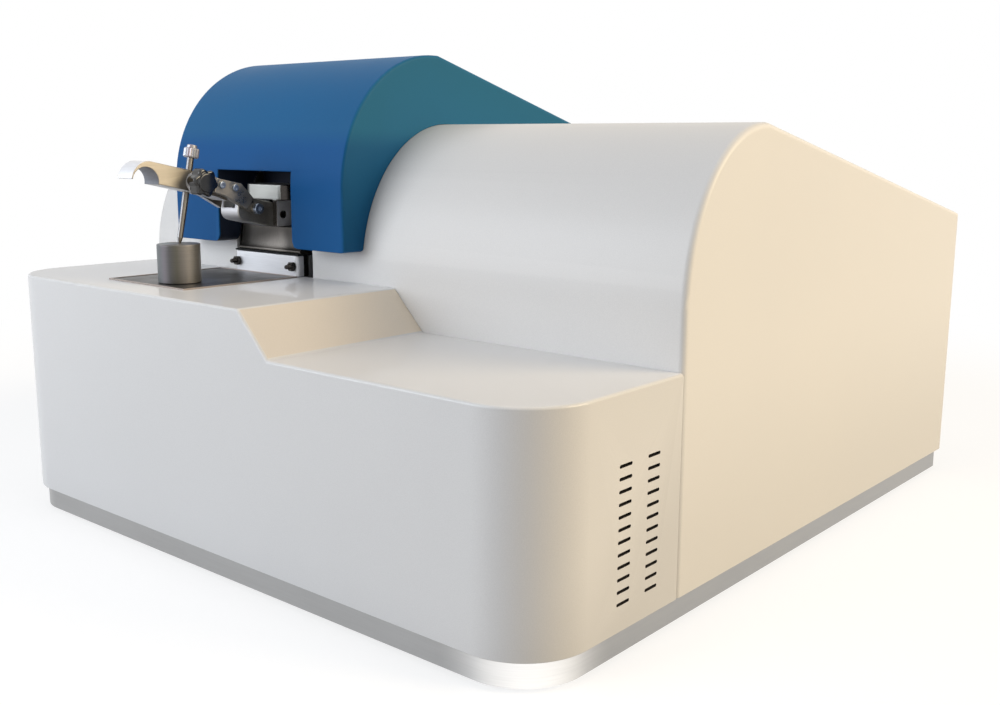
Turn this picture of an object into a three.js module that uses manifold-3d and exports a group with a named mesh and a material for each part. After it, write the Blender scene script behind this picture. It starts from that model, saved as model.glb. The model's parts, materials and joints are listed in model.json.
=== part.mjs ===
// Bench-top optical emission spectrometer with a spark stand and a sample clamp.
// Millimetres, +Z up, +X to the right of the front, +Y to the rear.
// Inside the cabinet group x starts at the left side, y at the front and z at the cabinet's lower edge.

import * as THREE from 'three';
import { mergeVertices } from 'three/addons/utils/BufferGeometryUtils.js';
import Module from 'manifold-3d';

const wasm = await Module();
wasm.setup();

// Driving sizes of the cabinet
const bodyWidth = 640;
const bodyDepth = 706;
const footHeight = 3;
const plinthHeight = 20;
const plinthInset = 5;
const wall = 3;
const seat = 0.3;
const overrun = 4;
const frontDepth = 163;
const frontCornerRadius = 54;
const platformHeight = 202;
const shelfDrop = 35;
const platformEdge = 354;
const shelfEdge = 388;
const edgeRound = 5;
const leastRound = 1;
const crownHeight = 138;
const crownRise = 130;
const crownRun = 109;
const crownFlat = 3;
const rearHeight = 52;

// Blue hood over the spark stand
const hoodLeft = 72;
const hoodRight = 315;
const hoodFront = 141;
const hoodSill = 28;
const hoodHeight = 199;
const hoodRise = 118;
const hoodRun = 115;
const hoodFlat = 6;
const hoodRearHeight = 74;
const hoodEdgeRound = 3;
const hoodClearance = 0.4;

// Notch in the hood's front and the opening behind it
const notchLeft = 141;
const notchRight = 247;
const notchHeight = 95.5;
const notchCornerRadius = 8;
const standOpeningMargin = 4.5;
const bulkheadHeight = 16;

// Air slots in the right side of the front housing
const slotLength = 15;
const slotHeight = 2.4;
const slotPitch = 8.75;
const slotCount = 12;
const slotLowest = 20.3;
const slotEndShare = 0.98;
const slotColumns = [94.2, 128.3];

// Table of the spark stand
const tableLeft = 122;
const tableRight = 236.5;
const tableFront = 34;
const tableBack = 155;
const tableThickness = 6;
const tableProud = 0.6;
const rimWidth = 2.2;
const rimProud = 0.5;
const sampleX = 191.2;
const sampleY = 61.5;
const sampleRadius = 18.4;
const sampleHeight = 33.4;
const sampleChamfer = 0.8;
const apertureRadius = 6.5;
const insertRadius = 15;
const insertThickness = 3;

// Spark stand below the table
const standBodyHeight = 48;
const standInset = 8;
const standBoreRadius = 13;
const frameThickness = 4;
const frameMargin = 2;
const electrodeRadius = 3;
const electrodeTipLength = 7;
const electrodeGap = 3.4;
const holderRadius = 9;
const holderHeight = 16;
const pipeRadius = 10;
const pipeBore = 7;
const pipeDrop = 30;

// Rear fence of the table and the column of the clamp
const fenceLeft = 145.5;
const fenceRight = 236.5;
const fenceDepth = 15;
const fenceHeight = 19;
const fenceEndRadius = 3;
const studSpread = 40.4;
const studRadius = 2;
const studProud = 9.5;
const studDepth = 12;
const nutAcross = 8;
const nutThickness = 4;
const gasketThickness = 1.5;
const gasketMargin = 0.8;
const blockDepth = 28;
const linerThickness = 2;
const columnHeight = 23;
const columnTaper = 3;
const columnToe = 8;

// Clamp: the support arm and the lever share one pitched plane
const clampX = 191;
const clampPitch = THREE.MathUtils.degToRad(12);
const leverPivotY = 130.5;
const leverPivotHeight = 62.5;
const supportWidth = 26;
const supportTop = 9.5;
const supportBottom = 12.5;
const supportFront = 14.5;
const supportLip = 5;
const supportChin = 4;
const supportSlotWidth = 16;
const supportSlotFloor = -2;
const supportSlotBack = 4.5;
const supportReach = 32.6;
const supportTail = 10.5;
const supportRound = 1;
const bracketPinRadius = 3;
const bracketWebWidth = 38;
const bracketPlateWidth = 62;
const bracketPlateThickness = 14;
const bracketPlateRadius = 12;
const bracketFront = 155;
const bracketDepth = 32;
const bracketPlateHeight = 69;
const hingeBoltRadius = 3;
const hingeHeadRadius = 4.8;
const hingeHeadHeight = 4;

// Lever, with lengths measured forward from the hinge and heights above it
const handleWidth = 22;
const handleTop = 21.6;
const handleBottom = 3.8;
const handleTip = 121;
const handleNoseRadius = 16;
const fingerRadius = 12;
const fingerLip = 1.6;
const heelWidth = 27;
const heelStart = 27;
const heelLow = 2;
const heelToeWidth = 6;
const heelToeStart = 16.6;
const heelToeTop = 5;
const heelToeLow = -3.4;
const heelSlopeBottom = 40;
const heelLength = 47;
const linkThickness = 8;
const linkStep = 3;
const linkEyeRadius = 4.2;
const linkEndUpper = [4.1, 8.3];
const linkEndLower = [10.7, -1.9];
const linkWaist = [33, 5];
const linkKnee = 19.6;
const linkLength = 46.5;
const linkTop = 18.9;

// Clamp rod and its lock knob
const rodOffset = 60.5;
const rodRadius = 2.9;
const rodTipRadius = 1.4;
const rodNeckRadius = 2.4;
const rodTipLength = 5;
const rodStubTop = 44.4;
const rodStubRadius = 4;
const headBottom = 33.3;
const headTop = 41.8;
const headRadius = 6.6;
const headFlutes = 18;
const headFluteDepth = 0.6;
const slideClearance = 0.3;
const knobHeight = 12.2;
const knobRadius = 12.5;
const knobThickness = 12.4;
const knobLobes = 6;
const knobLobeDepth = 2.2;
const knobLobeSteps = 6;
const knobHubRadius = 8;
const knobRound = 1.2;
const bossRadius = 9;
const bossHeight = 4.4;
const lockScrewRadius = 2.5;

// Floor of the cabinet and the feet
const floorThickness = 4;
const footRadius = 16;
const footInset = 70;
const rearCornerRadius = 6;

// Rear panel, set back inside the cabinet's edges
const panelRecess = 18;
const panelThickness = 3;
const panelSlotLength = 46;
const panelSlotWidth = 3;
const panelSlotPitch = 8;
const panelSlotCount = 9;
const panelSlotShare = 115 / 305;
const panelSlotZ = 70;

// Fan at the rear panel
const fanInset = 120;
const fanZ = 110;
const fanSize = 60;
const fanDepth = 16;
const fanBore = 28;
const fanCornerRadius = 5;
const fanHubRadius = 13;
const fanBladeCount = 7;
const fanBladeThickness = 1.6;
const fanBladePitch = Math.PI / 5;
const fanRunningGap = 1.2;
const guardRadius = 30;
const guardWire = 2;
const guardRings = [12, 19, 26];
const guardRingWidth = 2.2;

// Inlet, switch, port and gas fittings at the rear panel
const inletX = 110;
const inletZ = 60;
const inletWidth = 48;
const inletHeight = 30;
const inletFlange = 2.5;
const inletPocketWidth = 28;
const inletPocketHeight = 20;
const inletPocketDepth = 16;
const inletBodyDepth = 22;
const inletPinWidth = 2;
const inletPinHeight = 4;
const inletPinLength = 11;
const inletPinSpread = 7;
const inletPinRise = 4;
const switchX = 165;
const switchWidth = 22;
const switchHeight = 30;
const switchFrame = 2.5;
const switchBodyDepth = 16;
const rockerWidth = 15;
const rockerHeight = 23;
const rockerRadius = 18;
const rockerTilt = THREE.MathUtils.degToRad(10);
const rockerPivotDepth = 3;
const portX = 215;
const portWidth = 20;
const portHeight = 18;
const portPocketWidth = 12;
const portPocketHeight = 9;
const portPocketDepth = 12;
const portDepth = 18;
const gasX = 60;
const gasZ = 150;
const gasSpacing = 50;
const gasHexAcross = 17;
const gasHexThickness = 6;
const gasBarbRadius = 4;
const gasCoreRadius = 3.2;
const gasBarbCount = 3;
const gasBarbLength = 8.5;
const gasShankRadius = 5;
const gasShankLength = 10;

// Optical chamber on its legs
const chamberLeft = 70;
const chamberSpace = 80;
const chamberFront = 262;
const chamberSetback = 45;
const chamberDrop = 48.3;
const chamberHeight = 100;
const chamberWall = 10;
const chamberRadius = 40;
const lidThickness = 6;
const legRadius = 11;
const legInset = 46;
const slitWidth = 24;
const slitHeight = 40;
const slitThickness = 5;
const lensRadius = 9;
const lensThickness = 4;
const lensCurve = 40;
const gratingWidth = 50;
const gratingHeight = 44;
const gratingThickness = 8;
const gratingRadius = 400;
const gratingDish = 2;
const gratingMountDepth = 14;
const gratingMountFoot = 34;
const detectorMargin = 50;
const detectorWidth = 44;
const detectorHeight = 30;
const detectorDepth = 9;
const detectorSpread = 74;
const detectorPitch = 52;
const detectorTurn = Math.PI / 24;
const detectorBase = 36;

// Electronics and gas supply on the cabinet floor
const supplyWidth = 150;
const supplyDepth = 110;
const supplyHeight = 62;
const supplyInset = 200;
const supplySetback = 165;
const supplySlotCount = 5;
const supplySlotEnd = 22;
const sourceWidth = 170;
const sourceDepth = 150;
const sourceHeadroom = 9.7;
const sourceInset = 340;
const sourceSetback = 385;
const insulatorRadius = 9;
const insulatorCore = 6.3;
const insulatorHeight = 18;
const insulatorRibs = 2;
const boardGap = 34;
const boardDepth = 140;
const boardThickness = 2;
const boardX = 80;
const boardSetback = 215;
const standoffHeight = 10;
const standoffRadius = 4;
const chipHeight = 6;
const chipShares = [[0.3, 0.3, 0.16], [0.62, 0.4, 0.2], [0.35, 0.72, 0.12], [0.75, 0.75, 0.1]];
const manifoldX = 22;
const manifoldY = 120;
const manifoldWidth = 84;
const manifoldDepth = 30;
const manifoldHeight = 34;
const valveCount = 3;
const valveRadius = 9;
const valveHeight = 30;
const lineRadius = 3;
const lineX = 24;
const lineBend = 25;
const lineTurn = 75;
const lineMiddle = 125;
const lineLow = 200;
const lineSteps = 40;
const weldTolerance = 1e-4;
const bevelSteps = 3;
const fewSteps = 2;
const coarse = 16;
const medium = 24;
const fine = 32;
const dishSegments = 256;

// Sizes worked out from the driving ones
const cabinetBottom = footHeight + plinthHeight;
const rearStart = frontDepth + seat;
const shelfHeight = platformHeight - shelfDrop;
const crownTop = platformHeight + crownHeight;
const rearTop = platformHeight + rearHeight;
const hoodBottom = platformHeight + hoodSill;
const hoodTop = platformHeight + hoodHeight;
const hoodRearTop = platformHeight + hoodRearHeight;
const notchTop = platformHeight + notchHeight;
const leverPivotZ = platformHeight + leverPivotHeight;
const bracketPlateBottom = platformHeight + bracketPlateHeight;
const tableTop = platformHeight + tableProud;
const sampleBottom = tableTop + seat;
const sampleTop = sampleBottom + sampleHeight;
const fenceBottom = platformHeight + seat;
const fenceTop = fenceBottom + fenceHeight;
const columnBottom = fenceTop + gasketThickness + seat + seat;
const columnTop = columnBottom + columnHeight;
const rodTip = (sampleTop + seat - leverPivotZ - rodOffset * Math.sin(clampPitch)) / Math.cos(clampPitch)
  + rodTipRadius * Math.tan(clampPitch);
const panelBack = bodyDepth - panelRecess;
const panelFront = panelBack - panelThickness;
const floorTop = floorThickness + seat;
const fanX = bodyWidth - fanInset;
const panelSlotX = portX + (fanX - portX) * panelSlotShare;
const tableBottom = tableTop - tableThickness;
const standBodyTop = tableBottom - seat;
const standBodyBottom = standBodyTop - standBodyHeight;
const standLeft = tableLeft + standInset;
const standRight = tableRight - standInset;
const standFront = tableFront + standInset;
const standBack = tableBack - standInset;
const blockFront = tableBack + fenceDepth + seat;
const blockBack = blockFront + blockDepth;
const pipeZ = standBodyTop - pipeDrop;
const chamberBottom = pipeZ - chamberDrop;
const chamberTop = chamberBottom + chamberHeight;
const chamberRight = bodyWidth - chamberSpace;
const chamberBack = panelFront - chamberSetback;
const rearLegX = (chamberLeft + chamberRight) / 2;
const detectorLeft = sampleX + detectorSpread;
const detectorRoom = chamberRight - chamberWall - detectorMargin - detectorLeft;
const detectorCount = Math.floor(detectorRoom / detectorPitch) + 1;
const supplyX = bodyWidth - supplyInset;
const supplyY = panelFront - supplySetback;
const sourceHeight = chamberBottom - sourceHeadroom - insulatorHeight - floorTop;
const sourceX = bodyWidth - sourceInset;
const sourceY = panelFront - sourceSetback;
const boardWidth = rearLegX - legRadius - boardGap - boardX;
const boardY = panelFront - boardSetback;

// Materials
const material = (color, roughness, metalness) => (
  new THREE.MeshStandardMaterial({ color, roughness, metalness }));
const pearlPaint = material(0xdcdad6, 0.42, 0.15);
const bluePaint = material(0x1f5c9c, 0.4, 0.15);
const shadePaint = material(0x1b2735, 0.6, 0.1);
const plinthSteel = material(0x9c9e9c, 0.38, 0.6);
const brightAluminium = material(0xd6d8da, 0.32, 0.9);
const brushedSteel = material(0xa8a6a2, 0.35, 0.95);
const polishedSteel = material(0xd2d4d6, 0.14, 1.0);
const sampleSteel = material(0x8f8d88, 0.45, 0.9);
const darkPlate = material(0x33353a, 0.25, 0.8);
const blackPlastic = material(0x141416, 0.4, 0.0);
const rubber = material(0x1b1b1c, 0.85, 0.0);
const gasketRubber = material(0x101012, 0.8, 0.0);
const whiteCeramic = material(0xe9e5dc, 0.5, 0.0);
const tungsten = material(0x6c6f74, 0.3, 0.9);
const castAluminium = material(0xb4b6b6, 0.6, 0.7);
const brass = material(0xb5934f, 0.3, 0.95);
const glass = material(0xcfe3ea, 0.05, 0.0);
const boardGreen = material(0x1f5a38, 0.55, 0.0);
const tubeClear = material(0xd8dcd8, 0.35, 0.0);

// Booleans

function signedVolume(positions, triangles) {
  const a = new THREE.Vector3();
  const b = new THREE.Vector3();
  const c = new THREE.Vector3();
  let sum = 0;
  for (let i = 0; i < triangles.length; i += 3) {
    a.fromArray(positions, triangles[i] * 3);
    b.fromArray(positions, triangles[i + 1] * 3);
    c.fromArray(positions, triangles[i + 2] * 3);
    sum += a.dot(b.cross(c));
  }
  return sum;
}

// A closed geometry as a solid, facing out whichever way its outline was drawn
function solid(geometry) {
  geometry.deleteAttribute('normal');
  geometry.deleteAttribute('uv');
  const merged = mergeVertices(geometry, weldTolerance);
  const positions = merged.attributes.position.array;
  const index = merged.index.array;
  const triangles = [];
  for (let i = 0; i < index.length; i += 3) {
    const [a, b, c] = [index[i], index[i + 1], index[i + 2]];
    if (a !== b && b !== c && c !== a) triangles.push(a, b, c);
  }
  if (signedVolume(positions, triangles) < 0) triangles.reverse();
  const triVerts = Uint32Array.from(triangles);
  const vertProperties = Float32Array.from(positions);
  return new wasm.Manifold(new wasm.Mesh({ numProp: 3, vertProperties, triVerts }));
}

const cut = (base, ...tools) => tools.reduce((rest, tool) => rest.subtract(tool), base);
const join = (first, ...others) => others.reduce((sum, other) => sum.add(other), first);

function geometryOf(body) {
  const mesh = body.getMesh();
  const geometry = new THREE.BufferGeometry();
  geometry.setAttribute('position', new THREE.BufferAttribute(mesh.vertProperties, 3));
  geometry.setIndex(new THREE.BufferAttribute(mesh.triVerts, 1));
  geometry.computeVertexNormals();
  return geometry;
}

// Basic forms

function block(x0, x1, y0, y1, z0, z1) {
  const geometry = new THREE.BoxGeometry(x1 - x0, y1 - y0, z1 - z0);
  geometry.translate((x0 + x1) / 2, (y0 + y1) / 2, (z0 + z1) / 2);
  return solid(geometry);
}

const extrusion = (shape, depth, curveSegments) => (
  new THREE.ExtrudeGeometry(shape, { depth, curveSegments, bevelEnabled: false }));

// An extrusion whose two end faces have rounded edges
const roundedExtrusion = (shape, depth, radius, curveSegments, bevelSegments = bevelSteps) => (
  new THREE.ExtrudeGeometry(shape, {
    depth: depth - radius - radius,
    curveSegments,
    bevelEnabled: true,
    bevelThickness: radius,
    bevelSize: radius,
    bevelOffset: -radius,
    bevelSegments,
  }).translate(0, 0, radius));

// Turns a geometry drawn in (y, z) and extruded by depth so that its depth runs along +X from x0
const alongX = (geometry, x0) => geometry.rotateX(Math.PI / 2).rotateZ(Math.PI / 2).translate(x0, 0, 0);

// Turns a geometry drawn in (x, z) so that its depth runs along -Y, ending at y1
const alongY = (geometry, y1) => geometry.rotateX(Math.PI / 2).translate(0, y1, 0);

const prismX = (shape, x0, x1, segments) => solid(alongX(extrusion(shape, x1 - x0, segments), x0));
const prismY = (shape, y0, y1, segments) => solid(alongY(extrusion(shape, y1 - y0, segments), y1));
const prismZ = (shape, z0, z1, segments) => (
  solid(extrusion(shape, z1 - z0, segments).translate(0, 0, z0)));

function rodX(radius, x0, x1, y, z, segments = coarse) {
  const geometry = new THREE.CylinderGeometry(radius, radius, x1 - x0, segments);
  return solid(geometry.rotateZ(Math.PI / 2).translate((x0 + x1) / 2, y, z));
}

function rodY(radius, y0, y1, x, z, segments = coarse) {
  const geometry = new THREE.CylinderGeometry(radius, radius, y1 - y0, segments);
  return solid(geometry.translate(x, (y0 + y1) / 2, z));
}

function rodZ(radius, z0, z1, x, y, segments = coarse) {
  const geometry = new THREE.CylinderGeometry(radius, radius, z1 - z0, segments);
  return solid(geometry.rotateX(Math.PI / 2).translate(x, y, (z0 + z1) / 2));
}

// A turned piece on a vertical axis, from [radius, height] points that start and end on the axis
function turned(points, x, y, segments) {
  const profile = points.map(([radius, height]) => new THREE.Vector2(radius, height));
  return solid(new THREE.LatheGeometry(profile, segments).rotateX(Math.PI / 2).translate(x, y, 0));
}

function polygon(points) {
  const shape = new THREE.Shape();
  points.forEach(([a, b], i) => (i ? shape.lineTo(a, b) : shape.moveTo(a, b)));
  shape.closePath();
  return shape;
}

// A rectangle with one radius at all four corners
function roundedRectangle(a0, a1, b0, b1, radius) {
  const shape = new THREE.Shape();
  shape.moveTo(a0 + radius, b0);
  shape.lineTo(a1 - radius, b0);
  shape.absarc(a1 - radius, b0 + radius, radius, -Math.PI / 2, 0);
  shape.lineTo(a1, b1 - radius);
  shape.absarc(a1 - radius, b1 - radius, radius, 0, Math.PI / 2);
  shape.lineTo(a0 + radius, b1);
  shape.absarc(a0 + radius, b1 - radius, radius, Math.PI / 2, Math.PI);
  shape.lineTo(a0, b0 + radius);
  shape.absarc(a0 + radius, b0 + radius, radius, Math.PI, 1.5 * Math.PI);
  return shape;
}

// A regular polygon of the given width across its flats
function flatsPolygon(across, sides, a, b) {
  const radius = across / 2 / Math.cos(Math.PI / sides);
  const corner = (i) => {
    const angle = 2 * Math.PI * (i + 0.5) / sides;
    return [a + radius * Math.cos(angle), b + radius * Math.sin(angle)];
  };
  return polygon(Array.from({ length: sides }, (_, i) => corner(i)));
}

// Outlines of the cabinet

// Plan with two large front corners and two small rear ones
function cabinetPlan(inset, back) {
  const radius = frontCornerRadius - inset;
  const rear = Math.max(rearCornerRadius - inset, leastRound);
  const left = inset;
  const right = bodyWidth - inset;
  const shape = new THREE.Shape();
  shape.moveTo(left + radius, inset);
  shape.lineTo(right - radius, inset);
  shape.absarc(right - radius, inset + radius, radius, -Math.PI / 2, 0);
  shape.lineTo(right, back - rear);
  shape.absarc(right - rear, back - rear, rear, 0, Math.PI / 2);
  shape.lineTo(left + rear, back);
  shape.absarc(left + rear, back - rear, rear, Math.PI / 2, Math.PI);
  shape.lineTo(left, inset + radius);
  shape.absarc(left + radius, inset + radius, radius, Math.PI, 1.5 * Math.PI);
  return shape;
}

// Front view of the platform, the slope and the shelf
function platformView(inset, bottom) {
  const fall = Math.atan2(platformHeight - shelfHeight, shelfEdge - platformEdge);
  const shift = inset * Math.tan(fall / 2);
  return polygon([
    [0, bottom],
    [bodyWidth, bottom],
    [bodyWidth, shelfHeight - inset],
    [shelfEdge - shift, shelfHeight - inset],
    [platformEdge - shift, platformHeight - inset],
    [0, platformHeight - inset],
  ]);
}

// Side view of a crowned cover: an upright front, an elliptical crown, a slope to the rear
function crownedView(front, rise, run, flat, top, rear, rearZ, bottom) {
  const shape = new THREE.Shape();
  shape.moveTo(front, bottom);
  shape.lineTo(rear, bottom);
  shape.lineTo(rear, rearZ);
  shape.lineTo(front + run + flat, top);
  shape.absellipse(front + run, top - rise, run, rise, Math.PI / 2, Math.PI, false, 0);
  return shape;
}

const crownView = (inset, bottom) => crownedView(
  rearStart + inset, crownRise - inset, crownRun - inset, crownFlat,
  crownTop - inset, bodyDepth, rearTop - inset, bottom);

const hoodView = (inset) => crownedView(
  hoodFront + inset, hoodRise - inset, hoodRun - inset, hoodFlat,
  hoodTop - inset, bodyDepth - inset, hoodRearTop - inset, hoodBottom + inset);

// Base of the cabinet

const makePlinth = () => prismZ(
  cabinetPlan(plinthInset, bodyDepth - plinthInset), -plinthHeight, -seat, coarse);

const makeFoot = (x, y) => turned([
  [0, -plinthHeight - footHeight],
  [footRadius - footHeight / 2, -plinthHeight - footHeight],
  [footRadius, -plinthHeight - footHeight / 2],
  [footRadius, -plinthHeight - seat],
  [0, -plinthHeight - seat],
], x, y, coarse);

function makeFloor() {
  const inset = wall + seat;
  return prismZ(cabinetPlan(inset, panelFront - seat), 0, floorThickness, coarse);
}

// Housings

function platformSolid(inset, bottom, back) {
  const plan = prismZ(cabinetPlan(inset, back + frontCornerRadius), bottom, platformHeight, coarse);
  return plan.intersect(prismY(platformView(inset, bottom), 0, back, 1));
}

function airSlot(y, z) {
  const half = slotHeight / 2;
  const shape = roundedRectangle(
    y - slotLength / 2, y + slotLength / 2, z - half, z + half, half * slotEndShare);
  return prismX(shape, bodyWidth - wall - overrun, bodyWidth + overrun, fewSteps);
}

function makeFrontHousing() {
  let shell = cut(platformSolid(0, 0, frontDepth), platformSolid(wall, -overrun, frontDepth + overrun));
  const opening = block(
    tableLeft - seat, tableRight + seat, tableFront - seat, tableBack + seat,
    platformHeight - wall - overrun, platformHeight + overrun);
  shell = cut(shell, opening);
  for (const y of slotColumns) {
    for (let i = 0; i < slotCount; i += 1) {
      shell = cut(shell, airSlot(y, slotLowest + i * slotPitch));
    }
  }
  return shell;
}

function crownSolid(inset, side, bottom, radius) {
  const view = roundedExtrusion(crownView(inset, bottom - radius), bodyWidth - side - side, radius, coarse);
  return solid(alongX(view, side));
}

function makeRearHousing() {
  const above = block(-overrun, bodyWidth + overrun, 0, bodyDepth, 0, crownTop + overrun);
  const outer = crownSolid(0, 0, -overrun, edgeRound).intersect(above);
  const inner = prismX(
    crownedView(
      rearStart + wall, crownRise - wall, crownRun - wall, crownFlat,
      crownTop - wall, bodyDepth + overrun, rearTop - wall, -overrun),
    wall, bodyWidth - wall, coarse);
  const openingLeft = notchLeft - standOpeningMargin;
  const stand = block(
    openingLeft, notchRight + seat, frontDepth - overrun, frontDepth + crownRun,
    platformHeight, notchTop + wall);
  const back = block(
    wall, bodyWidth - wall, frontDepth - overrun, rearStart + wall + overrun, -overrun,
    shelfHeight - bulkheadHeight);
  const passage = block(
    tableLeft - standInset, tableRight + standInset + standInset, frontDepth - overrun,
    rearStart + wall + overrun, -overrun, platformHeight + overrun);
  const cutPassage = passage.intersect(block(
    openingLeft, notchRight + seat, 0, bodyDepth, -overrun, platformHeight + overrun));
  return cut(outer, inner, stand, back, cutPassage);
}

function notchTool(margin, bottom) {
  const left = notchLeft - margin;
  const right = notchRight + margin;
  const top = notchTop + margin;
  const shape = new THREE.Shape();
  const radius = Math.max(notchCornerRadius - margin, seat);
  shape.moveTo(left - radius, bottom);
  shape.absarc(left - radius, bottom + radius, radius, -Math.PI / 2, 0);
  shape.lineTo(left, top);
  shape.lineTo(right, top);
  shape.lineTo(right, bottom + radius);
  shape.absarc(right + radius, bottom + radius, radius, Math.PI, 1.5 * Math.PI);
  shape.lineTo(right + radius, bottom - overrun);
  shape.lineTo(left - radius, bottom - overrun);
  return prismY(shape, hoodFront - overrun, frontDepth + crownRun, coarse);
}

function makeHood() {
  const width = hoodRight - hoodLeft;
  const outer = solid(alongX(roundedExtrusion(hoodView(0), width, hoodEdgeRound, coarse), hoodLeft));
  const cavity = prismX(hoodView(wall), hoodLeft + wall, hoodRight - wall, coarse);
  const linedCavity = cut(cavity, notchTool(wall, hoodBottom));
  const crown = prismX(
    crownedView(
      rearStart - hoodClearance, crownRise + hoodClearance, crownRun + hoodClearance, crownFlat,
      crownTop + hoodClearance, bodyDepth + overrun, rearTop + hoodClearance, -overrun),
    -overrun, bodyWidth + overrun, coarse);
  return cut(outer, linedCavity, crown, notchTool(0, hoodBottom));
}

// Table of the spark stand

function makeTablePlate() {
  const edge = rimWidth + seat;
  const plate = block(
    tableLeft + edge, tableRight - edge, tableFront + edge, tableBack - edge, tableBottom, tableTop);
  return cut(
    plate, rodZ(insertRadius + seat, tableBottom - overrun, tableTop + overrun, sampleX, sampleY, fine));
}

function makeTableRim() {
  const top = tableTop + rimProud;
  const outer = block(tableLeft, tableRight, tableFront, tableBack - seat, tableBottom, top);
  const inner = block(
    tableLeft + rimWidth, tableRight - rimWidth, tableFront + rimWidth, tableBack - rimWidth,
    tableBottom - overrun, top + overrun);
  return cut(outer, inner);
}

function makeApertureInsert() {
  const bottom = tableTop - insertThickness;
  return cut(
    rodZ(insertRadius, bottom, tableTop, sampleX, sampleY, fine),
    rodZ(apertureRadius, bottom - overrun, tableTop + overrun, sampleX, sampleY, medium));
}

const makeSample = () => turned([
  [0, sampleBottom],
  [sampleRadius - sampleChamfer, sampleBottom],
  [sampleRadius, sampleBottom + sampleChamfer],
  [sampleRadius, sampleTop - sampleChamfer],
  [sampleRadius - sampleChamfer, sampleTop],
  [0, sampleTop],
], sampleX, sampleY, fine);

// Spark stand below the table

function makeStandBody() {
  const body = block(standLeft, standRight, standFront, standBack, standBodyBottom, standBodyTop);
  const ledge = tableTop - insertThickness - seat;
  const collar = rodZ(insertRadius, standBodyTop - overrun, ledge, sampleX, sampleY, medium);
  const bore = rodZ(standBoreRadius, standBodyBottom - overrun, ledge + overrun, sampleX, sampleY, medium);
  const window = rodY(pipeRadius + seat, sampleY, standBack + overrun, sampleX, pipeZ, medium);
  return cut(join(body, collar), bore, window);
}

function makeElectrodeHolder() {
  const shelf = standBodyBottom - frameThickness;
  const holder = turned([
    [0, shelf],
    [holderRadius, shelf],
    [holderRadius, shelf + holderHeight],
    [electrodeRadius + wall, shelf + holderHeight + wall],
    [0, shelf + holderHeight + wall],
  ], sampleX, sampleY, coarse);
  return cut(holder, rodZ(electrodeRadius + seat, shelf + wall, pipeZ, sampleX, sampleY));
}

function makeElectrode() {
  const tip = tableTop - electrodeGap;
  const bottom = standBodyBottom - frameThickness + wall + seat;
  return turned([
    [0, bottom],
    [electrodeRadius, bottom],
    [electrodeRadius, tip - electrodeTipLength],
    [0, tip],
  ], sampleX, sampleY, coarse);
}

// Two side plates joined by a deck that carries the stand and the clamp's block
function makeStandFrame() {
  const left = standLeft - frameMargin - frameThickness;
  const right = fenceRight + frameMargin;
  const deckTop = standBodyBottom - seat;
  const outer = block(left, right, standFront, blockBack, floorTop, deckTop);
  const inner = block(
    left + frameThickness, right - frameThickness, standFront - overrun, blockBack + overrun,
    floorTop - overrun, deckTop - frameThickness);
  return cut(outer, inner, rodZ(holderRadius + seat, floorTop, deckTop + overrun, sampleX, sampleY));
}

function makeClampBlock() {
  const body = block(fenceLeft, fenceRight, blockFront, blockBack, standBodyBottom, fenceTop);
  const bore = rodY(pipeRadius + seat, blockFront - overrun, blockBack + overrun, sampleX, pipeZ, medium);
  return cut(body, bore, ...studPlaces().map((x) => studHole(x)));
}

function makeLightPipe() {
  const start = standBack - wall;
  const end = chamberFront - seat;
  return cut(
    rodY(pipeRadius, start, end, sampleX, pipeZ, medium),
    rodY(pipeBore, start - overrun, end + overrun, sampleX, pipeZ, coarse));
}

// Fence behind the table and the column that carries the clamp

const studPlaces = () => [clampX - studSpread, clampX + studSpread];
const studZ = () => fenceBottom + fenceHeight / 2;
const studHole = (x) => rodY(
  studRadius + seat, tableBack - overrun, blockFront + studDepth + seat, x, studZ(), coarse);

function makeFence() {
  const plan = roundedRectangle(fenceLeft, fenceRight, tableBack, tableBack + fenceDepth, fenceEndRadius);
  return cut(prismZ(plan, fenceBottom, fenceTop, 4), ...studPlaces().map((x) => studHole(x)));
}

const makeStud = (x) => rodY(studRadius, tableBack - studProud, blockFront + studDepth, x, studZ(), coarse);

function makeNut(x) {
  const back = tableBack - seat;
  const nut = prismY(flatsPolygon(nutAcross, 6, x, studZ()), back - nutThickness, back, 1);
  return cut(nut, rodY(studRadius + seat, back - studProud, back + overrun, x, studZ(), coarse));
}

const makeGasket = () => block(
  fenceLeft - gasketMargin, fenceRight + gasketMargin, tableBack + gasketMargin, blockBack,
  fenceTop + seat, fenceTop + seat + gasketThickness);

// A tapered block whose front curves out to a toe at its foot
function makeColumn() {
  const front = bracketFront + columnToe;
  const side = new THREE.Shape();
  side.moveTo(bracketFront + columnToe / 2, columnBottom);
  side.lineTo(blockBack, columnBottom);
  side.lineTo(blockBack, columnTop);
  side.lineTo(front, columnTop);
  side.quadraticCurveTo(
    front, columnBottom + columnToe / 2, bracketFront + columnToe / 2, columnBottom + columnToe / 4);
  const view = polygon([
    [fenceLeft, columnBottom - overrun],
    [fenceRight, columnBottom - overrun],
    [fenceRight, columnBottom],
    [fenceRight - columnTaper, columnTop],
    [fenceLeft + columnTaper, columnTop],
    [fenceLeft, columnBottom],
  ]);
  return prismX(side, fenceLeft, fenceRight, 8).intersect(prismY(view, 0, bodyDepth, 1));
}

// Sheet that closes the opening behind the clamp
function makeRecessLiner() {
  const start = blockBack + seat;
  return block(
    notchLeft - standOpeningMargin + seat, notchRight, start, start + linerThickness,
    platformHeight, notchTop);
}

const supportPinY = () => leverPivotY + supportReach * Math.cos(clampPitch);
const supportPinZ = () => leverPivotZ - supportReach * Math.sin(clampPitch);

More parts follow.
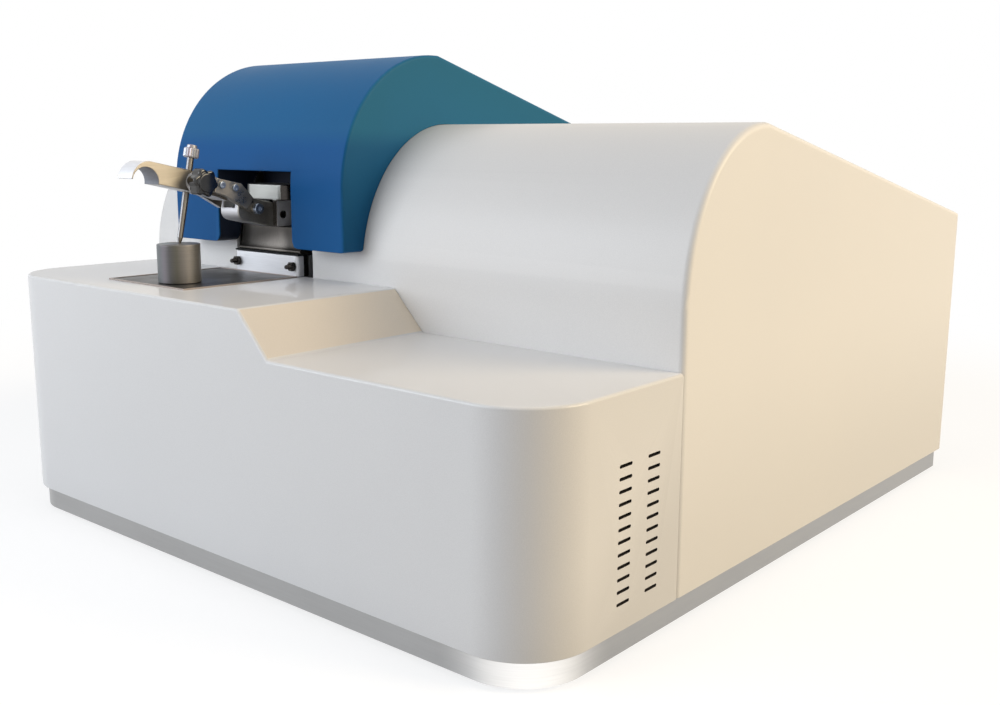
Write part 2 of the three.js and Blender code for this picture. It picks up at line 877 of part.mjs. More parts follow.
// An inverted U: a wide top plate over two cheeks that hold the support arm
function makeBracket() {
  const back = bracketFront + bracketDepth;
  const half = bracketPlateWidth / 2;
  const webHalf = bracketWebWidth / 2;
  const slotHalf = supportWidth / 2 + seat;
  const plate = prismZ(
    roundedRectangle(clampX - half, clampX + half, bracketFront, back, bracketPlateRadius),
    bracketPlateBottom, bracketPlateBottom + bracketPlateThickness, 6);
  const web = block(
    clampX - webHalf, clampX + webHalf, bracketFront, back, columnTop + seat, bracketPlateBottom);
  const slot = block(
    clampX - slotHalf, clampX + slotHalf, bracketFront - overrun,
    supportPinY() + supportTail + seat, columnTop, bracketPlateBottom);
  const hole = rodX(
    bracketPinRadius + seat, clampX - half, clampX + half, supportPinY(), supportPinZ());
  return cut(join(plate, web), slot, hole);
}

function makeBracketPin() {
  const half = bracketWebWidth / 2;
  return rodX(bracketPinRadius, clampX - half, clampX + half, supportPinY(), supportPinZ());
}

// Clamp pieces, drawn in the pitched plane: a = backward from the hinge, b = above it

function makeSupportArm() {
  const side = new THREE.Shape();
  side.moveTo(-supportFront, supportLip);
  side.lineTo(supportRound - supportFront, -supportChin);
  side.quadraticCurveTo(-supportBottom, -supportBottom, -supportChin, -supportBottom);
  side.lineTo(supportReach - supportTail / 2, -supportBottom);
  side.lineTo(supportReach, -supportTail);
  side.absarc(supportReach, 0, supportTail, -Math.PI / 2, Math.PI / 2, false);
  side.lineTo(supportReach - supportTail / 2, supportTop);
  side.lineTo(0, supportTop);
  const half = supportWidth / 2;
  const blank = solid(alongX(
    roundedExtrusion(side, supportWidth, supportRound, 6, fewSteps), clampX - half));
  const hinge = rodX(
    hingeBoltRadius + seat, clampX - supportWidth, clampX + supportWidth, 0, 0);
  const pin = rodX(
    bracketPinRadius + seat, clampX - supportWidth, clampX + supportWidth, supportReach, 0);
  const slot = block(
    clampX - supportSlotWidth / 2, clampX + supportSlotWidth / 2, -supportFront - overrun, supportSlotBack,
    supportSlotFloor, supportTop + overrun);
  return cut(blank, hinge, pin, slot);
}

const linkInner = () => clampX + heelWidth / 2 + seat;

function makeHingeBolt() {
  const outside = linkInner() + linkThickness + seat;
  return join(
    rodX(hingeBoltRadius, clampX - supportWidth / 2, outside, 0, 0),
    rodX(hingeHeadRadius, outside, outside + hingeHeadHeight, 0, 0, medium));
}

const leverBore = () => rodZ(
  rodRadius + slideClearance, handleBottom - overrun - overrun, handleTop + overrun, clampX, -rodOffset,
  coarse);

const lockBore = () => rodX(
  lockScrewRadius + slideClearance, clampX, clampX + handleWidth + overrun, -rodOffset, knobHeight, coarse);

// Side view of the handle: a hooked nose round the finger recess and a bar with rounded ends
function handleView() {
  const noseX = handleTip - handleNoseRadius;
  const fingerX = handleTip - fingerLip - fingerRadius;
  const shape = new THREE.Shape();
  shape.moveTo(overrun - heelLength, handleBottom);
  shape.lineTo(overrun - heelLength, handleTop);
  shape.lineTo(-noseX, handleTop);
  shape.absellipse(
    -noseX, handleBottom, handleNoseRadius, handleTop - handleBottom, Math.PI / 2, Math.PI, false, 0);
  shape.lineTo(-handleTip + fingerLip, handleBottom);
  shape.absarc(-fingerX, handleBottom, fingerRadius, Math.PI, 0, true);
  shape.closePath();
  return shape;
}

function makeLever() {
  const half = handleWidth / 2;
  const heelHalf = heelWidth / 2;
  const bar = solid(alongX(
    roundedExtrusion(handleView(), handleWidth, fingerLip / 2, coarse, fewSteps), clampX - half));
  const heel = polygon([
    [-heelStart, heelLow],
    [-heelStart, linkTop - fingerLip],
    [-heelLength, handleTop],
    [-heelLength, handleBottom],
    [-heelSlopeBottom, handleBottom],
  ]);
  const back = prismX(heel, clampX - heelHalf, clampX + heelHalf, 1);
  const toeView = polygon([
    [-heelToeStart, heelToeLow],
    [-heelToeStart, heelToeTop],
    [-heelStart, linkTop - fingerLip],
    [-heelStart - fingerLip, linkTop - fingerLip],
    [-heelSlopeBottom, handleBottom],
  ]);
  const toe = prismX(toeView, clampX - heelHalf, clampX - heelHalf + heelToeWidth, 1);
  const boss = rodX(bossRadius, clampX, clampX + half + bossHeight, -rodOffset, knobHeight, medium);
  return cut(join(bar, back, toe, boss), leverBore(), lockBore());
}

// A plate with a blunt end and a small eye on the hinge bolt
function makeSideLink() {
  const outer = linkInner() + linkThickness;
  const plate = polygon([
    [-linkLength, linkTop],
    [-linkKnee, linkTop],
    [-linkEndUpper[0], linkEndUpper[1]],
    [-linkEndLower[0], linkEndLower[1]],
    [-linkWaist[0], linkWaist[1]],
    [-linkLength, linkWaist[1] + fingerLip],
  ]);
  const neck = polygon([
    [-linkEndUpper[0], linkEndUpper[1]],
    [0, linkEyeRadius],
    [0, -linkEyeRadius],
    [-linkEndLower[0], linkEndLower[1]],
  ]);
  return cut(
    join(
      prismX(plate, linkInner(), outer, 1),
      prismX(neck, linkInner(), outer - linkStep, 1),
      rodX(linkEyeRadius, linkInner(), outer, 0, 0)),
    rodX(hingeBoltRadius + seat, linkInner() - overrun, outer + overrun, 0, 0));
}

function makeRod() {
  return turned([
    [0, rodTip],
    [rodTipRadius, rodTip],
    [rodNeckRadius, rodTip + rodTipLength],
    [rodRadius, handleBottom - overrun],
    [rodRadius, rodStubTop],
    [0, rodStubTop],
  ], clampX, -rodOffset, coarse);
}

// A fluted head on the rod, with a smaller crown above it
function makeRodHead() {
  const shape = new THREE.Shape();
  const steps = headFlutes * 2;
  for (let i = 0; i <= steps; i += 1) {
    const angle = 2 * Math.PI * i / steps;
    const radius = headRadius - (i % 2) * headFluteDepth;
    const [a, b] = [clampX + radius * Math.cos(angle), -rodOffset + radius * Math.sin(angle)];
    if (i) shape.lineTo(a, b);
    else shape.moveTo(a, b);
  }
  const knurl = prismZ(shape, headBottom, headTop, 1);
  const crown = rodZ(
    rodStubRadius + slideClearance, headTop - overrun, rodStubTop, clampX, -rodOffset, coarse);
  const bore = rodZ(
    rodRadius + slideClearance, headBottom - overrun, rodStubTop + overrun, clampX, -rodOffset, coarse);
  return cut(join(knurl, crown), bore);
}

const knobInner = () => clampX + handleWidth / 2 + bossHeight + seat;

// A star knob: its rim runs in and out once for each lobe
function makeLockKnob() {
  const inner = knobInner();
  const shape = new THREE.Shape();
  const steps = knobLobes * knobLobeSteps;
  for (let i = 0; i <= steps; i += 1) {
    const angle = 2 * Math.PI * i / steps;
    const radius = knobRadius - knobLobeDepth * (1 - Math.cos(knobLobes * angle)) / 2;
    const [a, b] = [-rodOffset + radius * Math.cos(angle), knobHeight + radius * Math.sin(angle)];
    if (i) shape.lineTo(a, b);
    else shape.moveTo(a, b);
  }
  const grip = solid(alongX(roundedExtrusion(shape, knobThickness, knobRound, 1, fewSteps), inner));
  const hub = rodX(
    knobHubRadius, inner + knobThickness - seat, inner + knobThickness + fingerLip, -rodOffset, knobHeight);
  const bore = rodX(
    lockScrewRadius + seat, inner - overrun, inner + knobThickness - overrun, -rodOffset, knobHeight);
  return cut(join(grip, hub), bore);
}

function makeLockScrew() {
  const start = clampX + rodRadius + slideClearance;
  const end = knobInner() + knobThickness - overrun - seat;
  return rodX(lockScrewRadius, start, end, -rodOffset, knobHeight, coarse);
}

// Rear panel and what it carries

function makeRearPanel() {
  const inset = wall + seat;
  const roofSlope = (crownTop - rearTop) / (bodyDepth - rearStart - crownRun - crownFlat);
  const top = rearTop - inset + panelRecess * roofSlope - seat;
  const sheet = block(inset, bodyWidth - inset, panelFront, panelBack, 0, top);
  const holes = [
    rodY(guardRadius - guardWire, panelFront - overrun, panelBack + overrun, fanX, fanZ, fine),
    block(
      inletX - inletWidth / 2 + inletFlange, inletX + inletWidth / 2 - inletFlange,
      panelFront - overrun, panelBack + overrun,
      inletZ - inletHeight / 2 + inletFlange, inletZ + inletHeight / 2 - inletFlange),
    block(
      switchX - switchWidth / 2 + switchFrame, switchX + switchWidth / 2 - switchFrame,
      panelFront - overrun, panelBack + overrun,
      inletZ - switchHeight / 2 + switchFrame, inletZ + switchHeight / 2 - switchFrame),
    block(
      portX - portWidth / 2 - seat, portX + portWidth / 2 + seat, panelFront - overrun, panelBack + overrun,
      inletZ - portHeight / 2 - seat, inletZ + portHeight / 2 + seat),
    rodY(gasShankRadius + seat, panelFront - overrun, panelBack + overrun, gasX, gasZ),
    rodY(gasShankRadius + seat, panelFront - overrun, panelBack + overrun, gasX + gasSpacing, gasZ),
  ];
  for (let i = 0; i < panelSlotCount; i += 1) {
    const z = panelSlotZ + i * panelSlotPitch;
    for (const side of [-1, 1]) {
      const x = panelSlotX + side * (panelSlotLength / 2 + panelSlotPitch / 2);
      const half = panelSlotWidth / 2;
      const slot = roundedRectangle(
        x - panelSlotLength / 2, x + panelSlotLength / 2, z - half, z + half, half * slotEndShare);
      holes.push(prismY(slot, panelFront - overrun, panelBack + overrun, fewSteps));
    }
  }
  return cut(sheet, ...holes);
}

const fanBack = () => panelFront - seat;

function makeFanFrame() {
  const half = fanSize / 2;
  const back = fanBack();
  const frame = prismY(
    roundedRectangle(fanX - half, fanX + half, fanZ - half, fanZ + half, fanCornerRadius),
    back - fanDepth, back, 4);
  const bore = rodY(fanBore, back - fanDepth - overrun, back + overrun, fanX, fanZ, fine);
  const spiderY = back - fanDepth;
  const spiderEnd = spiderY + guardWire;
  const spoke = block(fanX - half, fanX + half, spiderY, spiderEnd, fanZ - guardWire, fanZ + guardWire);
  const post = block(fanX - guardWire, fanX + guardWire, spiderY, spiderEnd, fanZ - half, fanZ + half);
  const boss = rodY(fanHubRadius, spiderY, spiderEnd, fanX, fanZ, coarse);
  return join(cut(frame, bore), spoke, post, boss);
}

function makeFanRotor() {
  const start = fanBack() - fanDepth + guardWire + seat;
  const end = fanBack() - fanRunningGap;
  let rotor = rodY(fanHubRadius, start, end, fanX, fanZ, coarse);
  const length = fanBore - fanRunningGap;
  for (let i = 0; i < fanBladeCount; i += 1) {
    const blade = new THREE.BoxGeometry(length - fanHubRadius / 2, fanDepth - overrun, fanBladeThickness);
    blade.translate((length + fanHubRadius / 2) / 2, 0, 0);
    blade.rotateX(fanBladePitch);
    blade.rotateY(2 * Math.PI * i / fanBladeCount);
    blade.translate(fanX, (start + end) / 2, fanZ);
    const band = rodY(length, start, end, fanX, fanZ, fine);
    rotor = join(rotor, solid(blade).intersect(band));
  }
  return rotor;
}

// Rings and four spokes in front of the fan's hole
function makeFanGuard() {
  const start = panelBack + seat;
  const end = start + guardWire;
  const ring = (radius) => cut(
    rodY(radius + guardRingWidth / 2, start, end, fanX, fanZ, medium),
    rodY(radius - guardRingWidth / 2, start - overrun, end + overrun, fanX, fanZ, medium));
  const half = guardRadius + overrun;
  const bar = guardRingWidth / 2;
  const spokes = [
    block(fanX - half, fanX + half, start, end, fanZ - bar, fanZ + bar),
    block(fanX - bar, fanX + bar, start, end, fanZ - half, fanZ + half),
  ];
  return join(rodY(guardRings[0] / 2, start, end, fanX, fanZ, coarse), ...guardRings.map(ring), ...spokes);
}

function makePowerInlet() {
  const face = panelBack + seat;
  const frameEnd = face + inletFlange;
  const half = inletWidth / 2;
  const rise = inletHeight / 2;
  const flange = prismY(
    roundedRectangle(inletX - half, inletX + half, inletZ - rise, inletZ + rise, inletFlange),
    face, frameEnd, 3);
  const inner = inletFlange + seat;
  const shank = block(
    inletX - half + inner, inletX + half - inner, face - inletBodyDepth, face + seat,
    inletZ - rise + inner, inletZ + rise - inner);
  const floor = frameEnd - inletPocketDepth;
  const pocket = block(
    inletX - inletPocketWidth / 2, inletX + inletPocketWidth / 2, floor, frameEnd + overrun,
    inletZ - inletPocketHeight / 2, inletZ + inletPocketHeight / 2);
  const pin = (x, z) => block(
    x - inletPinWidth / 2, x + inletPinWidth / 2, floor - seat, floor + inletPinLength,
    z - inletPinHeight / 2, z + inletPinHeight / 2);
  const pins = [
    pin(inletX - inletPinSpread, inletZ + inletPinRise),
    pin(inletX + inletPinSpread, inletZ + inletPinRise),
    pin(inletX, inletZ + inletPinRise),
  ];
  return join(cut(join(flange, shank), pocket), ...pins);
}

function makeSwitchFrame() {
  const face = panelBack + seat;
  const half = switchWidth / 2;
  const rise = switchHeight / 2;
  const flange = prismY(
    roundedRectangle(switchX - half, switchX + half, inletZ - rise, inletZ + rise, switchFrame / 2),
    face, face + switchFrame, 3);
  const inner = switchFrame + seat;
  const shank = block(
    switchX - half + inner, switchX + half - inner, face - switchBodyDepth, face + seat,
    inletZ - rise + inner, inletZ + rise - inner);
  const gap = seat + seat;
  const well = block(
    switchX - rockerWidth / 2 - gap, switchX + rockerWidth / 2 + gap,
    face - switchBodyDepth + switchFrame, face + switchFrame + overrun,
    inletZ - rockerHeight / 2 - gap, inletZ + rockerHeight / 2 + gap);
  return cut(join(flange, shank), well);
}

// A rocker with a hollowed face, tilted to its off position
function makeRocker() {
  const pivot = panelBack + seat - rockerPivotDepth;
  const half = rockerHeight / 2 - seat;
  const shape = new THREE.Shape();
  const sag = rockerRadius - Math.sqrt(rockerRadius ** 2 - half ** 2);
  const lip = rockerPivotDepth + switchFrame + sag;
  const angle = Math.asin(half / rockerRadius);
  shape.moveTo(-rockerPivotDepth, -half / 2);
  shape.lineTo(lip, -half);
  shape.absarc(lip - sag + rockerRadius, 0, rockerRadius, Math.PI + angle, Math.PI - angle, true);
  shape.lineTo(-rockerPivotDepth, half / 2);
  shape.closePath();
  const x0 = switchX - rockerWidth / 2;
  const geometry = alongX(extrusion(shape, rockerWidth, 8), x0);
  return solid(geometry.rotateX(-rockerTilt).translate(0, pivot, inletZ));
}

function makeDataPort() {
  const end = panelBack + seat;
  const body = block(
    portX - portWidth / 2, portX + portWidth / 2, end - portDepth, end,
    inletZ - portHeight / 2, inletZ + portHeight / 2);
  const pocket = block(
    portX - portPocketWidth / 2, portX + portPocketWidth / 2, end - portPocketDepth, end + overrun,
    inletZ - portPocketHeight / 2, inletZ + portPocketHeight / 2);
  return cut(body, pocket);
}

// A hexagon with a shank through the panel and a barbed spigot
function makeGasFitting(x) {
  const face = panelBack + seat;
  const hexEnd = face + gasHexThickness;
  const hex = prismY(flatsPolygon(gasHexAcross, 6, x, gasZ), face, hexEnd, 1);
  const shank = rodY(gasShankRadius, face - gasShankLength, face + seat, x, gasZ);
  const step = gasBarbLength / gasBarbCount;
  const barbs = Array.from({ length: gasBarbCount }, (_, i) => {
    const barb = new THREE.CylinderGeometry(gasCoreRadius, gasBarbRadius, step, coarse);
    return solid(barb.translate(x, hexEnd + step * (i + 0.5) - seat, gasZ));
  });
  const core = rodY(gasCoreRadius, hexEnd - seat, hexEnd + gasBarbLength - seat, x, gasZ);
  return join(hex, shank, core, ...barbs);
}

// Optical chamber

const chamberPlan = (inset) => roundedRectangle(
  chamberLeft + inset, chamberRight - inset, chamberFront + inset, chamberBack - inset,
  chamberRadius - inset);

function legPlaces() {
  const left = chamberLeft + legInset;
  const right = chamberRight - legInset;
  return [
    [left, chamberFront + legInset],
    [right, chamberFront + legInset],
    [rearLegX, chamberBack - legInset],
  ];
}

const makeLeg = ([x, y]) => rodZ(legRadius, floorTop, chamberBottom + seat, x, y, coarse);

function makeChamber() {
  const tub = prismZ(chamberPlan(0), chamberBottom, chamberTop, 6);
  const hollow = prismZ(chamberPlan(chamberWall), chamberBottom + chamberWall, chamberTop + overrun, 6);
  const port = rodY(
    pipeBore, chamberFront - overrun, chamberFront + chamberWall + overrun, sampleX, pipeZ, medium);
  return join(cut(tub, hollow, port), ...legPlaces().map(makeLeg));
}

const makeChamberLid = () => prismZ(chamberPlan(0), chamberTop + seat, chamberTop + seat + lidThickness, 6);

function makeLens() {
  const y = chamberFront + chamberWall + seat;
  const lens = rodY(lensRadius, y, y + lensThickness, sampleX, pipeZ, medium);
  const dish = new THREE.SphereGeometry(lensCurve, fine, coarse);
  return lens.intersect(solid(dish.translate(sampleX, y + lensThickness - lensCurve, pipeZ)));
}

function makeSlit() {
  const y = chamberFront + chamberWall + seat + lensThickness + seat;
  const half = slitWidth / 2;
  const plate = block(
    sampleX - half, sampleX + half, y, y + slitThickness,
    chamberBottom + chamberWall + seat, pipeZ + slitHeight / 2);
  const gap = block(
    sampleX - seat, sampleX + seat, y - overrun, y + slitThickness + overrun,
    pipeZ - slitHeight / 4, pipeZ + slitHeight / 4);
  return cut(plate, gap);
}

const gratingY = () => chamberBack - chamberWall - gratingMountFoot;

function makeGrating() {
  const half = gratingWidth / 2;
  const y = gratingY();
  const blank = block(
    sampleX - half, sampleX + half, y, y + gratingThickness,
    pipeZ - gratingHeight / 2, pipeZ + gratingHeight / 2);
  const dish = new THREE.CylinderGeometry(
    gratingRadius, gratingRadius, gratingHeight + gratingHeight, dishSegments);
  dish.rotateX(Math.PI / 2).translate(sampleX, y + gratingDish - gratingRadius, pipeZ);
  return cut(blank, solid(dish));
}

function makeGratingMount() {
  const y = gratingY() + gratingThickness + seat;
  const half = gratingWidth / 2 + wall;
  const floor = chamberBottom + chamberWall + seat;
  const top = pipeZ + gratingHeight / 2;
  const plate = block(sampleX - half, sampleX + half, y, y + gratingMountDepth, floor, top);
  const foot = block(sampleX - half, sampleX + half, y - gratingMountDepth, y + seat, floor, floor + wall);
  const cradle = floor + wall + seat;
  const ledge = block(
    sampleX - half, sampleX + half, y - gratingThickness, y + seat,
    cradle - seat - seat, pipeZ - gratingHeight / 2 - seat);
  return join(plate, foot, ledge);
}

// A rail with line detectors side by side on it, each turned a little further
function makeDetectorArray() {
  const floor = chamberBottom + chamberWall + seat;
  const left = detectorLeft;
  const y = chamberFront + chamberWall + legInset;
  const rail = block(
    left, left + detectorPitch * (detectorCount - 1), y, y + detectorBase, floor, floor + chamberWall);
  const detectors = Array.from({ length: detectorCount }, (_, i) => {
    const body = new THREE.BoxGeometry(detectorWidth, detectorDepth, detectorHeight);
    body.rotateZ(-detectorTurn * i);
    const z = floor + chamberWall + detectorHeight / 2 - seat;
    return solid(body.translate(left + detectorPitch * i, y + detectorBase / 2, z));
  });
  return join(rail, ...detectors);
}

// Electronics and gas supply

function makePowerSupply() {
  const box = block(
    supplyX, supplyX + supplyWidth, supplyY, supplyY + supplyDepth, floorTop, floorTop + supplyHeight);
  const pitch = supplyWidth / (supplySlotCount + 2);
  const slots = Array.from({ length: supplySlotCount }, (_, i) => block(
    supplyX + pitch * (i + 1), supplyX + pitch * (i + 1) + wall,
    supplyY + supplySlotEnd, supplyY + supplyDepth - supplySlotEnd,
    floorTop + supplyHeight - wall, floorTop + supplyHeight + overrun));
  return cut(box, ...slots);
}

// High-voltage source with two ribbed insulators on its lid
function makeSparkSource() {
  const top = floorTop + sourceHeight;
  const box = block(sourceX, sourceX + sourceWidth, sourceY, sourceY + sourceDepth, floorTop, top);
  const insulator = (x, y) => {
    const step = insulatorHeight / (insulatorRibs * 2);
    const points = [[0, top - seat], [insulatorRadius, top - seat]];
    for (let i = 0; i < insulatorRibs * 2; i += 1) {
      const radius = i % 2 ? insulatorCore : insulatorRadius;
      points.push([radius, top + step * i], [radius, top + step * (i + 1)]);
    }
    points.push([0, top + insulatorHeight]);
    return turned(points, x, y, coarse);
  };
  return join(
    box,
    insulator(sourceX + sourceWidth / 4, sourceY + sourceDepth / 4),
    insulator(sourceX + sourceWidth / 2, sourceY + sourceDepth / 4));
}

function makeControllerBoard() {
  const z = floorTop + standoffHeight;
  const board = block(boardX, boardX + boardWidth, boardY, boardY + boardDepth, z, z + boardThickness);
  const top = z + boardThickness;
  const chips = chipShares.map(([a, b, size]) => block(
    boardX + boardWidth * (a - size / 2), boardX + boardWidth * (a + size / 2),
    boardY + boardDepth * (b - size / 2), boardY + boardDepth * (b + size / 2),
    top - seat, top + chipHeight));
  const inset = standoffRadius + standoffRadius;
  const corners = [
    [boardX + inset, boardY + inset],
    [boardX + boardWidth - inset, boardY + inset],
    [boardX + inset, boardY + boardDepth - inset],
    [boardX + boardWidth - inset, boardY + boardDepth - inset],
  ];
  const posts = corners.map(([x, y]) => rodZ(standoffRadius, floorTop, z + seat, x, y, 8));
  return join(board, ...chips, ...posts);
}

// Gas block with its solenoid valves
function makeArgonManifold() {
  const top = floorTop + manifoldHeight;
  const body = block(
    manifoldX, manifoldX + manifoldWidth, manifoldY, manifoldY + manifoldDepth, floorTop, top);
  const pitch = manifoldWidth / valveCount;
  const valves = Array.from({ length: valveCount }, (_, i) => rodZ(
    valveRadius, top - seat, top + valveHeight, manifoldX + pitch * (i + 0.5),
    manifoldY + manifoldDepth / 2, coarse));
  return join(body, ...valves);
}

// Gas line from the rear fitting along the left wall to the back of the manifold
function makeArgonLine() {
  const start = panelBack + seat - gasShankLength - seat;
  const low = floorTop + manifoldHeight / 2;
  const end = manifoldY + manifoldDepth + seat;
  const points = [
    [gasX, start, gasZ],
    [gasX, start - lineBend, gasZ],
    [lineX, start - lineTurn, gasZ - lineBend],
    [lineX, start - lineMiddle, (gasZ + low) / 2],
    [lineX, start - lineLow, low],
    [lineX, end + lineTurn, low],
    [lineX + lineBend, end + lineBend, low],
    [lineX + lineBend, end, low],
  ].map(([x, y, z]) => new THREE.Vector3(x, y, z));
  const path = new THREE.CatmullRomCurve3(points, false, 'centripetal');
  const section = new THREE.Shape();
  section.absarc(0, 0, lineRadius, 0, 2 * Math.PI);
  return solid(new THREE.ExtrudeGeometry(section, { extrudePath: path, steps: lineSteps, curveSegments: 4 }));
}

// Assembly

const cabinet = new THREE.Group();
cabinet.position.set(-bodyWidth / 2, -bodyDepth / 2, cabinetBottom);

const clamp = new THREE.Group();
clamp.position.set(0, leverPivotY, leverPivotZ);
clamp.rotation.x = -clampPitch;
cabinet.add(clamp);

function place(parent, name, body, look) {
  const mesh = new THREE.Mesh(geometryOf(body), look);
  mesh.name = name;
  parent.add(mesh);
}

place(cabinet, 'base_plinth', makePlinth(), plinthSteel);
place(cabinet, 'floor_plate', makeFloor(), castAluminium);
const feet = {
  foot_front_left: [footInset, footInset],
  foot_front_right: [bodyWidth - footInset, footInset],
  foot_rear_left: [footInset, bodyDepth - footInset],
  foot_rear_right: [bodyWidth - footInset, bodyDepth - footInset],
};
for (const [name, [x, y]] of Object.entries(feet)) place(cabinet, name, makeFoot(x, y), rubber);
place(cabinet, 'front_housing', makeFrontHousing(), pearlPaint);
place(cabinet, 'rear_housing', makeRearHousing(), pearlPaint);
place(cabinet, 'spark_stand_hood', makeHood(), bluePaint);

place(cabinet, 'table_plate', makeTablePlate(), darkPlate);
place(cabinet, 'table_rim', makeTableRim(), brightAluminium);
place(cabinet, 'aperture_insert', makeApertureInsert(), whiteCeramic);
place(cabinet, 'sample_disc', makeSample(), sampleSteel);
place(cabinet, 'stand_body', makeStandBody(), castAluminium);
place(cabinet, 'stand_frame', makeStandFrame(), castAluminium);
place(cabinet, 'electrode_holder', makeElectrodeHolder(), brass);
place(cabinet, 'counter_electrode', makeElectrode(), tungsten);
place(cabinet, 'light_pipe', makeLightPipe(), castAluminium);

place(cabinet, 'table_fence', makeFence(), brightAluminium);
studPlaces().forEach((x, i) => {
  const side = i ? 'right' : 'left';
  place(cabinet, `fence_stud_${side}`, makeStud(x), brushedSteel);
  place(cabinet, `fence_nut_${side}`, makeNut(x), brushedSteel);
});
place(cabinet, 'clamp_block', makeClampBlock(), castAluminium);
place(cabinet, 'recess_liner', makeRecessLiner(), shadePaint);
place(cabinet, 'column_gasket', makeGasket(), gasketRubber);
place(cabinet, 'clamp_column', makeColumn(), brushedSteel);
place(cabinet, 'clamp_bracket', makeBracket(), brightAluminium);
place(cabinet, 'bracket_pin', makeBracketPin(), brushedSteel);

place(clamp, 'support_arm', makeSupportArm(), brightAluminium);
place(clamp, 'hinge_bolt', makeHingeBolt(), brushedSteel);
place(clamp, 'clamp_lever', makeLever(), polishedSteel);
place(clamp, 'side_link', makeSideLink(), brushedSteel);
place(clamp, 'clamp_rod', makeRod(), polishedSteel);
place(clamp, 'rod_head', makeRodHead(), brightAluminium);
place(clamp, 'lock_knob', makeLockKnob(), blackPlastic);
place(clamp, 'lock_screw', makeLockScrew(), brushedSteel);

place(cabinet, 'rear_panel', makeRearPanel(), castAluminium);
place(cabinet, 'fan_frame', makeFanFrame(), blackPlastic);
place(cabinet, 'fan_rotor', makeFanRotor(), blackPlastic);
place(cabinet, 'fan_guard', makeFanGuard(), brushedSteel);
place(cabinet, 'power_inlet', makePowerInlet(), blackPlastic);
place(cabinet, 'switch_frame', makeSwitchFrame(), blackPlastic);
place(cabinet, 'power_rocker', makeRocker(), blackPlastic);
place(cabinet, 'data_port', makeDataPort(), brushedSteel);
place(cabinet, 'argon_inlet', makeGasFitting(gasX), brass);
place(cabinet, 'argon_outlet', makeGasFitting(gasX + gasSpacing), brass);

place(cabinet, 'optical_chamber', makeChamber(), castAluminium);
place(cabinet, 'chamber_lid', makeChamberLid(), castAluminium);
place(cabinet, 'entrance_lens', makeLens(), glass);
place(cabinet, 'entrance_slit', makeSlit(), brushedSteel);
place(cabinet, 'grating', makeGrating(), glass);
place(cabinet, 'grating_mount', makeGratingMount(), castAluminium);
place(cabinet, 'detector_array', makeDetectorArray(), blackPlastic);

place(cabinet, 'power_supply', makePowerSupply(), brushedSteel);
place(cabinet, 'spark_source', makeSparkSource(), whiteCeramic);
place(cabinet, 'controller_board', makeControllerBoard(), boardGreen);
place(cabinet, 'argon_manifold', makeArgonManifold(), brass);
place(cabinet, 'argon_line', makeArgonLine(), tubeClear);

const spectrometer = new THREE.Group();
spectrometer.add(cabinet);

export default spectrometer;
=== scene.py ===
# Looks of a bench-top optical emission spectrometer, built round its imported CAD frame. Metres.
import json
import math

import bmesh
import bpy
from mathutils import Matrix, Vector
from mathutils.bvhtree import BVHTree


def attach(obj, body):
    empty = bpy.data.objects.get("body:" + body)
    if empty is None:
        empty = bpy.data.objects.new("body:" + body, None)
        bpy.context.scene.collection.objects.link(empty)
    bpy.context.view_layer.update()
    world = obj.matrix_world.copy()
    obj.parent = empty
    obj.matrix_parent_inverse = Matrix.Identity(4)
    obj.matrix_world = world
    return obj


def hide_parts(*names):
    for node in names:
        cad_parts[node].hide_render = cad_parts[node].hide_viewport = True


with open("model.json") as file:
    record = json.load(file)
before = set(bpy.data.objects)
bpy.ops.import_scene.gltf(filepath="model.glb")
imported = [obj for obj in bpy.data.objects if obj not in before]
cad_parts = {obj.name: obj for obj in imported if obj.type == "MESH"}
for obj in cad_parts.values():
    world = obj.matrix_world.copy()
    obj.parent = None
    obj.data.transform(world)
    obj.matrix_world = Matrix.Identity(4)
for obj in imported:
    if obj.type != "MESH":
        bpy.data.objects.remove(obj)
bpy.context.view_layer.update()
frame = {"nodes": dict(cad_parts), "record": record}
scene = bpy.context.scene

# Places in the CAD source's own coordinates, in millimetres. The clamp's pieces are drawn in a plane
# pitched about its pivot: a runs backward from the hinge and b above it
HALF_WIDTH, HALF_DEPTH, BOTTOM = 320.0, 353.0, 23.0
PIVOT_Y, PIVOT_Z, PITCH = 130.5, 264.5, math.radians(12)
CLAMP_X, ROD_A, KNOB_B = 191.0, -60.5, 12.2
SAMPLE_X, SAMPLE_Y, SAMPLE_Z = 191.2, 61.5, 203


def cabinet(x, y, z):
    return Vector(((x - HALF_WIDTH) / 1000, (y - HALF_DEPTH) / 1000, (z + BOTTOM) / 1000))


def pitched(x, a, b):
    s, c = math.sin(PITCH), math.cos(PITCH)
    return cabinet(x, PIVOT_Y + a * c + b * s, PIVOT_Z - a * s + b * c)


CABINET = Matrix.Translation((-HALF_WIDTH / 1000, -HALF_DEPTH / 1000, BOTTOM / 1000)) @ Matrix.Scale(0.001, 4)
CLAMP = CABINET @ Matrix.Translation((0, PIVOT_Y, PIVOT_Z)) @ Matrix.Rotation(-PITCH, 4, "X")
BACKWARD = pitched(0, 1000, 0) - pitched(0, 0, 0)
AXES = {"z": Matrix(), "x": Matrix.Rotation(math.pi / 2, 4, "Y"), "y": Matrix.Rotation(-math.pi / 2, 4, "X")}

# The photograph's viewpoint, fitted to the part's outline
CAMERA_PLACE = (0.71597, -0.85502, 0.34876)
CAMERA_DEGREES = (40.2771, -10.7067, 0.2597)
CAMERA_SENSOR, CAMERA_LENS = 36, 40.388


